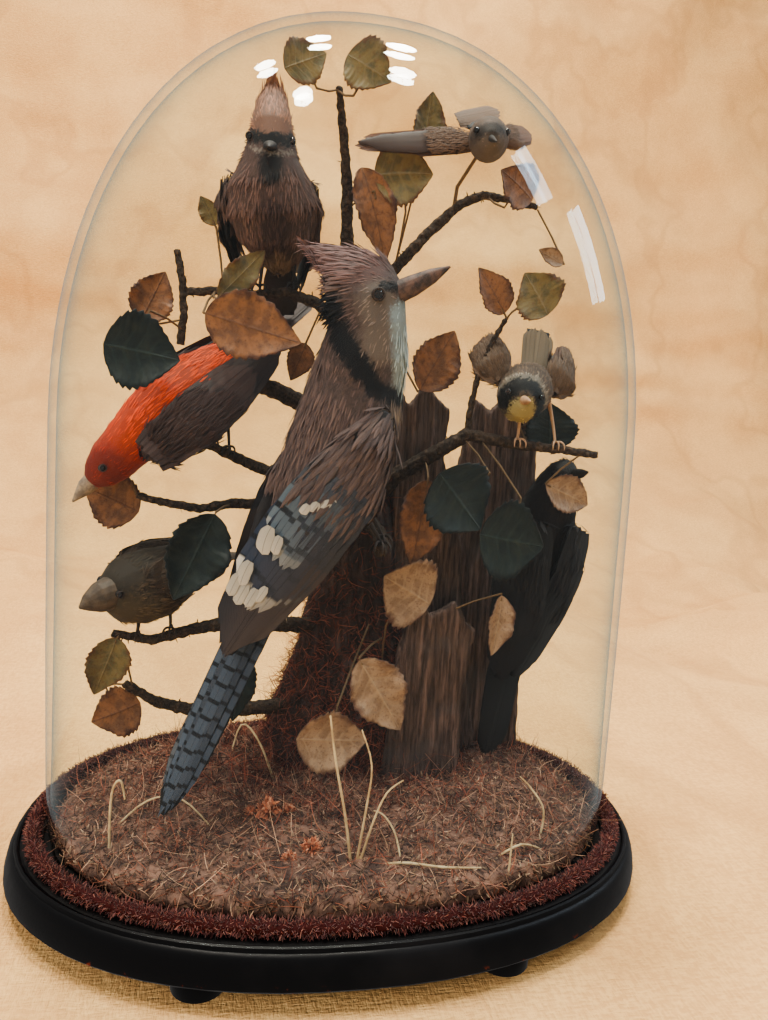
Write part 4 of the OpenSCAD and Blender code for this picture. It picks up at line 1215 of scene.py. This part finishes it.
# %% White tips on the jay's wing, and its legs
# Each tip is (x, z, length, width) in millimetres. The wing's face comes forward towards the shoulder.
TIPS = np.array([(-43, 184, 12, 7), (-39, 180, 8, 5), (-51, 169, 11, 6), (-55, 164, 11, 5),
                 (-52, 159, 10, 5), (-48, 157, 9, 5), (-44, 158, 8, 4), (-28, 194, 5, 4),
                 (-24, 195, 5, 4), (-19, 196, 5, 4), (-15, 197, 4, 4), (-11, 197, 4, 3)], float)
wing_face = -np.interp(TIPS[:, 1], [146, 166, 188, 208], [58.6, 61.4, 63.2, 64])
places = np.column_stack([TIPS[:, 0] + 2, wing_face, TIPS[:, 1] + 3]) * MM
white_tips = lay("jay_white_tips", VANE, places, [(-0.5, 0.08, -0.86)] * len(TIPS), (0, -1, 0),
                 TIPS[:, 2] * MM, TIPS[:, 3] * MM, sway=np.linspace(-0.25, 0.25, len(TIPS)),
                 tint=varied([rgb(206, 202, 194)], len(TIPS), 7, 0.05), mark=np.zeros((len(TIPS), 3)))
done(white_tips, "base", "jay_flight_feathers", vane)
legs("jay", rgb(70, 58, 54), 1.25)

# %% [markdown]
# ## The smaller birds
#
# A red tanager hangs head down on the left under a crested waxwing, with a brown finch low at the left. On
# the right are a masked yellowthroat, a small hummingbird near the crown and a dark blackbird with its back
# turned. Each differs only in its numbers: the flow, the markings and the rows of its wings and tail.

# %% Plain wings and tails
def plain_rows(dark, light, width, counts=(6, 7, 7)):
    """Three rows without bars, for the wings of a small bird."""
    return [(0.42, 1.0, counts[0], width, (dark, dark), PLAIN),
            (0.24, 0.74, counts[1], width, (dark, light), PLAIN),
            (0.02, 0.4, counts[2], width * 0.9, (light, light), PLAIN)]


def tail_rows(colour, width, count=7):
    """One plain row, for the tail of a small bird."""
    return [(0.0, 1.0, count, width, (colour, colour), PLAIN)]


# %% Tanager
TANAGER_BILL = (-131, -8, 188)
FLAME = [rgb(222, 82, 44), rgb(206, 70, 40)]
DUSK = rgb(74, 52, 47)
tanager_marks = [
    ([(-88, -6, 248), (-64, 6, 266), (-50, 14, 274)], 10, 3, rgb(255, 104, 56)),            # rump
    ([(-104, -6, 226), (-92, -10, 236)], 11, 6, rgb(236, 88, 46)),                          # back
    ([(-124, -8, 200), (-116, -10, 206)], 9, 4, rgb(168, 56, 38)),                          # face
    # The dark patch under the wing is painted shade, where the wing overhangs the body.
    ([(-80, -16, 232), (-60, -4, 244)], 7, 3, rgb(72, 44, 36)),                             # under the wing
]
plumage("tanager", 5000, 600, swept(TANAGER_BILL, (-40, 22, 280), 0.4), FLAME, tanager_marks, 6.5, 1.1,
        [((-118, -5, 204), 14, 0.5)], lift=0.08)
limb("tanager", "wings", TANAGER_BILL, plain_rows(rgb(56, 40, 37), DUSK, 6.5), 610,
     cover=[DUSK, rgb(70, 46, 40)], reach=0.6, size=7)
limb("tanager", "tail", TANAGER_BILL, tail_rows(DUSK, 5.5), 620)
bill("tanager", rgb(164, 146, 126), rgb(120, 106, 94))
legs("tanager", rgb(64, 48, 38))

# %% Waxwing
WAX_BILL = (-47, -32, 349)
CINNAMON = [rgb(120, 92, 84), rgb(104, 80, 74)]
waxwing_flow = flow(((-46, -24, 356), (0, 0.5, 1)), ((-46, -16, 372), (0, 0.2, 1)),
                    ((-46, -4, 383), (0, 0.1, 1)), ((-46, -26, 348), (0, 0, -1)),
                    ((-60, -10, 342), (-0.4, 0.3, -1)), ((-30, -10, 342), (0.3, 0.3, -1)),
                    ((-44, -28, 328), (0, 0.1, -1)), ((-40, 4, 304), (0.1, 0.5, -1)),
                    ((-58, -14, 357), (-0.3, 1, 0)), ((-34, -14, 357), (0.3, 1, 0)))
waxwing_marks = [
    ([(-46, -18, 368), (-46, -6, 384)], 13, 4, rgb(156, 112, 90)),                          # crest
    ([(-46, -26, 346), (-46, -28, 340)], 5.5, 4, rgb(36, 29, 29)),                          # chin
    ([(-56, -22, 352), (-50, -27, 349), (-42, -27, 349), (-36, -22, 352)], 0.9, 0.8,
     rgb(170, 158, 148)),                                                                   # pale line
    ([(-57, -18, 359), (-52, -25, 355.5), (-40, -25, 355.5), (-35, -18, 359)], 2.7, 0.8,
     rgb(20, 16, 17)),                                                                      # mask
    # The darker belly is painted shade on the bird's underside.
    ([(-44, -24, 322), (-42, -6, 306)], 8, 8, rgb(74, 52, 49)),                             # belly
    ([(-40, 0, 303)], 7, 4, rgb(132, 112, 94)),                                             # vent
]
plumage("waxwing", 5600, 700, waxwing_flow, CINNAMON, waxwing_marks, 5.5, 1.0,
        [((-46, -20, 354), 10, 0.45), ((-46, -6, 382), 10, 1.5)], lift=0.08)
limb("waxwing", "wings", WAX_BILL, plain_rows(rgb(62, 48, 46), rgb(96, 74, 68), 5, (5, 5, 5)), 710,
     cover=[rgb(106, 82, 74)], reach=0.6)
limb("waxwing", "tail", WAX_BILL, tail_rows(rgb(60, 50, 46), 5), 720)
bill("waxwing", rgb(34, 28, 28), rgb(56, 48, 46))
legs("waxwing", rgb(54, 44, 40))

# %% Yellowthroat
THROAT_BILL = (78, -39, 247)
BUFF = [rgb(112, 90, 72), rgb(98, 78, 63)]
yellowthroat_marks = [
    ([(66, -22, 243), (67, -24, 252), (76, -27, 260), (86, -26, 258), (92, -20, 250)], 3.0, 1.5,
     rgb(160, 148, 132)),                                                                   # pale brow
    ([(69, -26, 244), (70, -28, 251), (76, -30, 256), (84, -29, 255), (89, -26, 248), (90, -24, 242)],
     3.5, 0.8, rgb(18, 15, 15)),                                                            # mask
    ([(79, -30, 243), (80, -26, 238)], 6.6, 1.0, rgb(214, 200, 140)),                       # throat
]
plumage("yellowthroat", 3400, 800, swept(THROAT_BILL, (100, 16, 280)), BUFF, yellowthroat_marks, 4.5, 1.0,
        [((78, -32, 248), 11, 0.4)], lift=0.08)
limb("yellowthroat", "wings", THROAT_BILL, plain_rows(rgb(104, 78, 62), rgb(124, 98, 78), 5, (6, 6, 6)),
     810, rgb(84, 66, 54), [rgb(118, 94, 74)], reach=0.8)
limb("yellowthroat", "tail", THROAT_BILL, tail_rows(rgb(122, 104, 80), 5), 820)
bill("yellowthroat", rgb(196, 160, 126), rgb(166, 128, 100))
legs("yellowthroat", rgb(206, 166, 132))

# %% Finch
FINCH_BILL = (-121, -38, 146)
SPARROW = [rgb(92, 74, 54), rgb(58, 47, 37), rgb(116, 96, 72)]
finch_marks = [
    ([(-106, -30, 142), (-96, -24, 138)], 9, 6, rgb(104, 88, 64)),                          # breast
    ([(-108, -30, 158), (-94, -16, 166)], 8, 6, rgb(72, 61, 47)),                           # crown
    ([(-86, -16, 158), (-76, 4, 164)], 8, 4, rgb(90, 66, 50)),                              # back
]
plumage("finch", 4200, 900, swept(FINCH_BILL, (-60, 26, 158), 0.6), SPARROW, finch_marks, 5.2, 1.0,
        [((-110, -26, 150), 14, 0.5)], lift=0.08)
limb("finch", "wings", FINCH_BILL, plain_rows(rgb(66, 52, 42), rgb(84, 66, 52), 5, (5, 6, 6)), 910,
     cover=[rgb(86, 68, 52)], reach=0.6)
limb("finch", "tail", FINCH_BILL, tail_rows(rgb(76, 62, 48), 5), 920)
bill("finch", rgb(96, 80, 66), rgb(74, 62, 52))
legs("finch", rgb(70, 54, 42))

# %% Hummingbird
HUMMER_BILL = (47, -56, 354)
FAWN = [rgb(134, 106, 88), rgb(114, 90, 76)]
hummingbird_marks = [
    ([(51, -36, 359), (53, -30, 352)], 8, 3, rgb(140, 122, 108)),                           # throat
    ([(46, -34, 366), (56, -34, 368)], 3, 2, rgb(68, 56, 50)),                              # brow
]
plumage("hummingbird", 2600, 1000, swept(HUMMER_BILL, (60, -2, 384)), FAWN, hummingbird_marks, 2.6, 0.8,
        [((51, -36, 363), 9, 0.6)], lift=0.08)
limb("hummingbird", "wings", HUMMER_BILL, [
    (0.30, 1.02, 6, 3.6, (rgb(112, 80, 66), rgb(132, 98, 80)), PLAIN),
    (0.05, 0.62, 6, 3.6, (rgb(120, 90, 76), rgb(132, 102, 86)), PLAIN),
], 1010, rgb(92, 68, 58), [rgb(126, 98, 80)], reach=0.5, size=3)
limb("hummingbird", "tail", HUMMER_BILL, tail_rows(rgb(124, 96, 76), 4.5), 1020)
bill("hummingbird", rgb(60, 50, 44), rgb(40, 34, 32))

# %% Blackbird
BLACK_BILL = (123, -12, 214)
SOOT = [rgb(32, 25, 25), rgb(24, 20, 21)]
blackbird_flow = flow(((120, 2, 218), (-0.1, 0.6, 0.2)), ((117, 9, 207), (-0.1, 0.2, -1)),
                      ((111, 0, 180), (-0.2, 0, -1)), ((104, 16, 144), (-0.15, 0, -1)),
                      ((96, 14, 112), (-0.15, 0, -1)))
blackbird_marks = [
    ([(117, -2, 190), (112, 0, 170)], 10, 8, rgb(40, 30, 29)),                              # back
    ([(98, 0, 130), (96, 10, 112)], 12, 6, rgb(24, 21, 23)),                                # rump
]
plumage("blackbird", 6000, 1100, blackbird_flow, SOOT, blackbird_marks, 8, 1.2,
        [((118, 6, 212), 12, 0.5)], lift=0.08, spread=0.14)
limb("blackbird", "wings", BLACK_BILL, plain_rows(rgb(24, 19, 20), rgb(32, 26, 26), 8), 1110,
     rgb(16, 14, 14), [rgb(34, 27, 27)], reach=0.6, size=8)
limb("blackbird", "tail", BLACK_BILL, tail_rows(rgb(22, 18, 19), 6.5), 1120, rgb(16, 14, 14))
bill("blackbird", rgb(40, 34, 32), rgb(28, 24, 24))
legs("blackbird", rgb(40, 32, 30))

# %% [markdown]
# ## Room and light
#
# A cream canvas lies under the dome and sweeps up behind it. It is flat near the plinth and has soft folds
# further out. The light is plain: five small round lamps overhead, which the crown of the dome reflects, two
# cool window panes to the right, and two broad fills that are hidden from reflections.

# %% Floor and backdrop
SWEEP = [(-2.4, 0.0), (0.55, 0.0), (0.85, 0.05), (1.05, 0.22), (1.15, 0.5), (1.2, 2.6)]
sweep_mesh = bpy.data.meshes.new("floor_sweep")
sweep_points = [(x, y, z) for y, z in SWEEP for x in (-2.6, 2.6)]
sweep_mesh.from_pydata(sweep_points, [],
                       [(2 * i, 2 * i + 1, 2 * i + 3, 2 * i + 2) for i in range(len(SWEEP) - 1)])
floor = bpy.data.objects.new("floor", sweep_mesh)
bpy.context.collection.objects.link(floor)
modify(floor, "SUBSURF", levels=6, render_levels=6)
folds = bpy.data.textures.new("canvas_folds", "CLOUDS")
folds.noise_scale, folds.noise_depth = 0.36, 3
spots, upward = read(floor)
upward *= np.sign(upward[:, 2:] + 1e-6)
height = np.array([folds.evaluate((p[0] * 1.6 + p[1] * 0.7, p[1] * 0.8 - p[0] * 0.5, p[2]))[3]
                   for p in spots]) - 0.5
beyond = np.clip((np.hypot(spots[:, 0], spots[:, 1]) - 0.22) / 0.45, 0, 1)
write(floor, spots + upward * (height * beyond * 0.2)[:, None])
choose(floor)
bpy.ops.object.shade_smooth()
cloth = Paint("canvas", Roughness=0.9)
slubs = cloth.noise(1.3, 2, (0.25, 1, 1)) + cloth.noise(1.3, 2, (1, 0.25, 1))
worn = cloth.noise(90, 4).ramp(0.3, 0.7) * 0.45 + slubs.ramp(0.8, 1.2) * 0.55
# Painted shade: the canvas is darkened along thin winding lines, where its creases would fall into shadow.
painted_crease_shade = (cloth.noise(260, 3, (1, 0.45, 1)) - 0.5).abs().ramp(0.0, 0.035)
canvas = cloth.mix(worn, rgb(244, 200, 134), rgb(216, 168, 110))
cloth.set("Base Color", cloth.mix((1 - painted_crease_shade) * 0.3, canvas, rgb(196, 148, 96)))
cloth.bump(slubs, 0.8)
floor.data.materials.append(cloth.material)
floor.visible_glossy = False


# %% Lamps and window
LAMP_HEIGHT = 1.85
MIDDLE = Vector((0, 0, 0.2))


def lamp(name, at, power, size, colour, shape="DISK", size_y=None):
    """An area light of some watts, aimed at the middle of the display."""
    data = bpy.data.lights.new(name, "AREA")
    data.energy, data.size, data.shape, data.color = power, size, shape, colour
    if size_y:
        data.size_y = size_y
    obj = bpy.data.objects.new(name, data)
    bpy.context.collection.objects.link(obj)
    obj.location = at
    obj.rotation_euler = (MIDDLE - Vector(at)).to_track_quat("-Z", "Y").to_euler()
    return obj


WARM, COOL = (1.0, 0.92, 0.82), (0.72, 0.86, 1.0)
for order, (x, y) in enumerate([(-0.52, 0.0), (-0.33, -0.53), (-0.15, 0.22), (0.26, 0.15), (0.27, -0.24)]):
    lamp(f"lamp_{order}", (x, y, LAMP_HEIGHT), 8, 0.14, WARM)
lamp("window_upper", (1.05, -0.3, 1.36), 3, 0.16, COOL, shape="RECTANGLE", size_y=0.3)
lamp("window_lower", (1.36, 0.05, 0.98), 4, 0.16, COOL, shape="RECTANGLE", size_y=0.42)
lamp("fill", (-1.1, -1.3, 0.95), 19, 1.2, (1.0, 0.96, 0.97)).visible_glossy = False
lamp("floor_wash", (0, 0.7, 2.3), 24, 2.0, (1.0, 0.94, 0.87)).visible_glossy = False
world = bpy.data.worlds.new("room")
bpy.context.scene.world = world
world.use_nodes = True
world.node_tree.nodes["Background"].inputs["Color"].default_value = (1.0, 0.95, 0.9, 1)
world.node_tree.nodes["Background"].inputs["Strength"].default_value = 0.4
bpy.context.scene.view_settings.look = "AgX - Medium High Contrast"
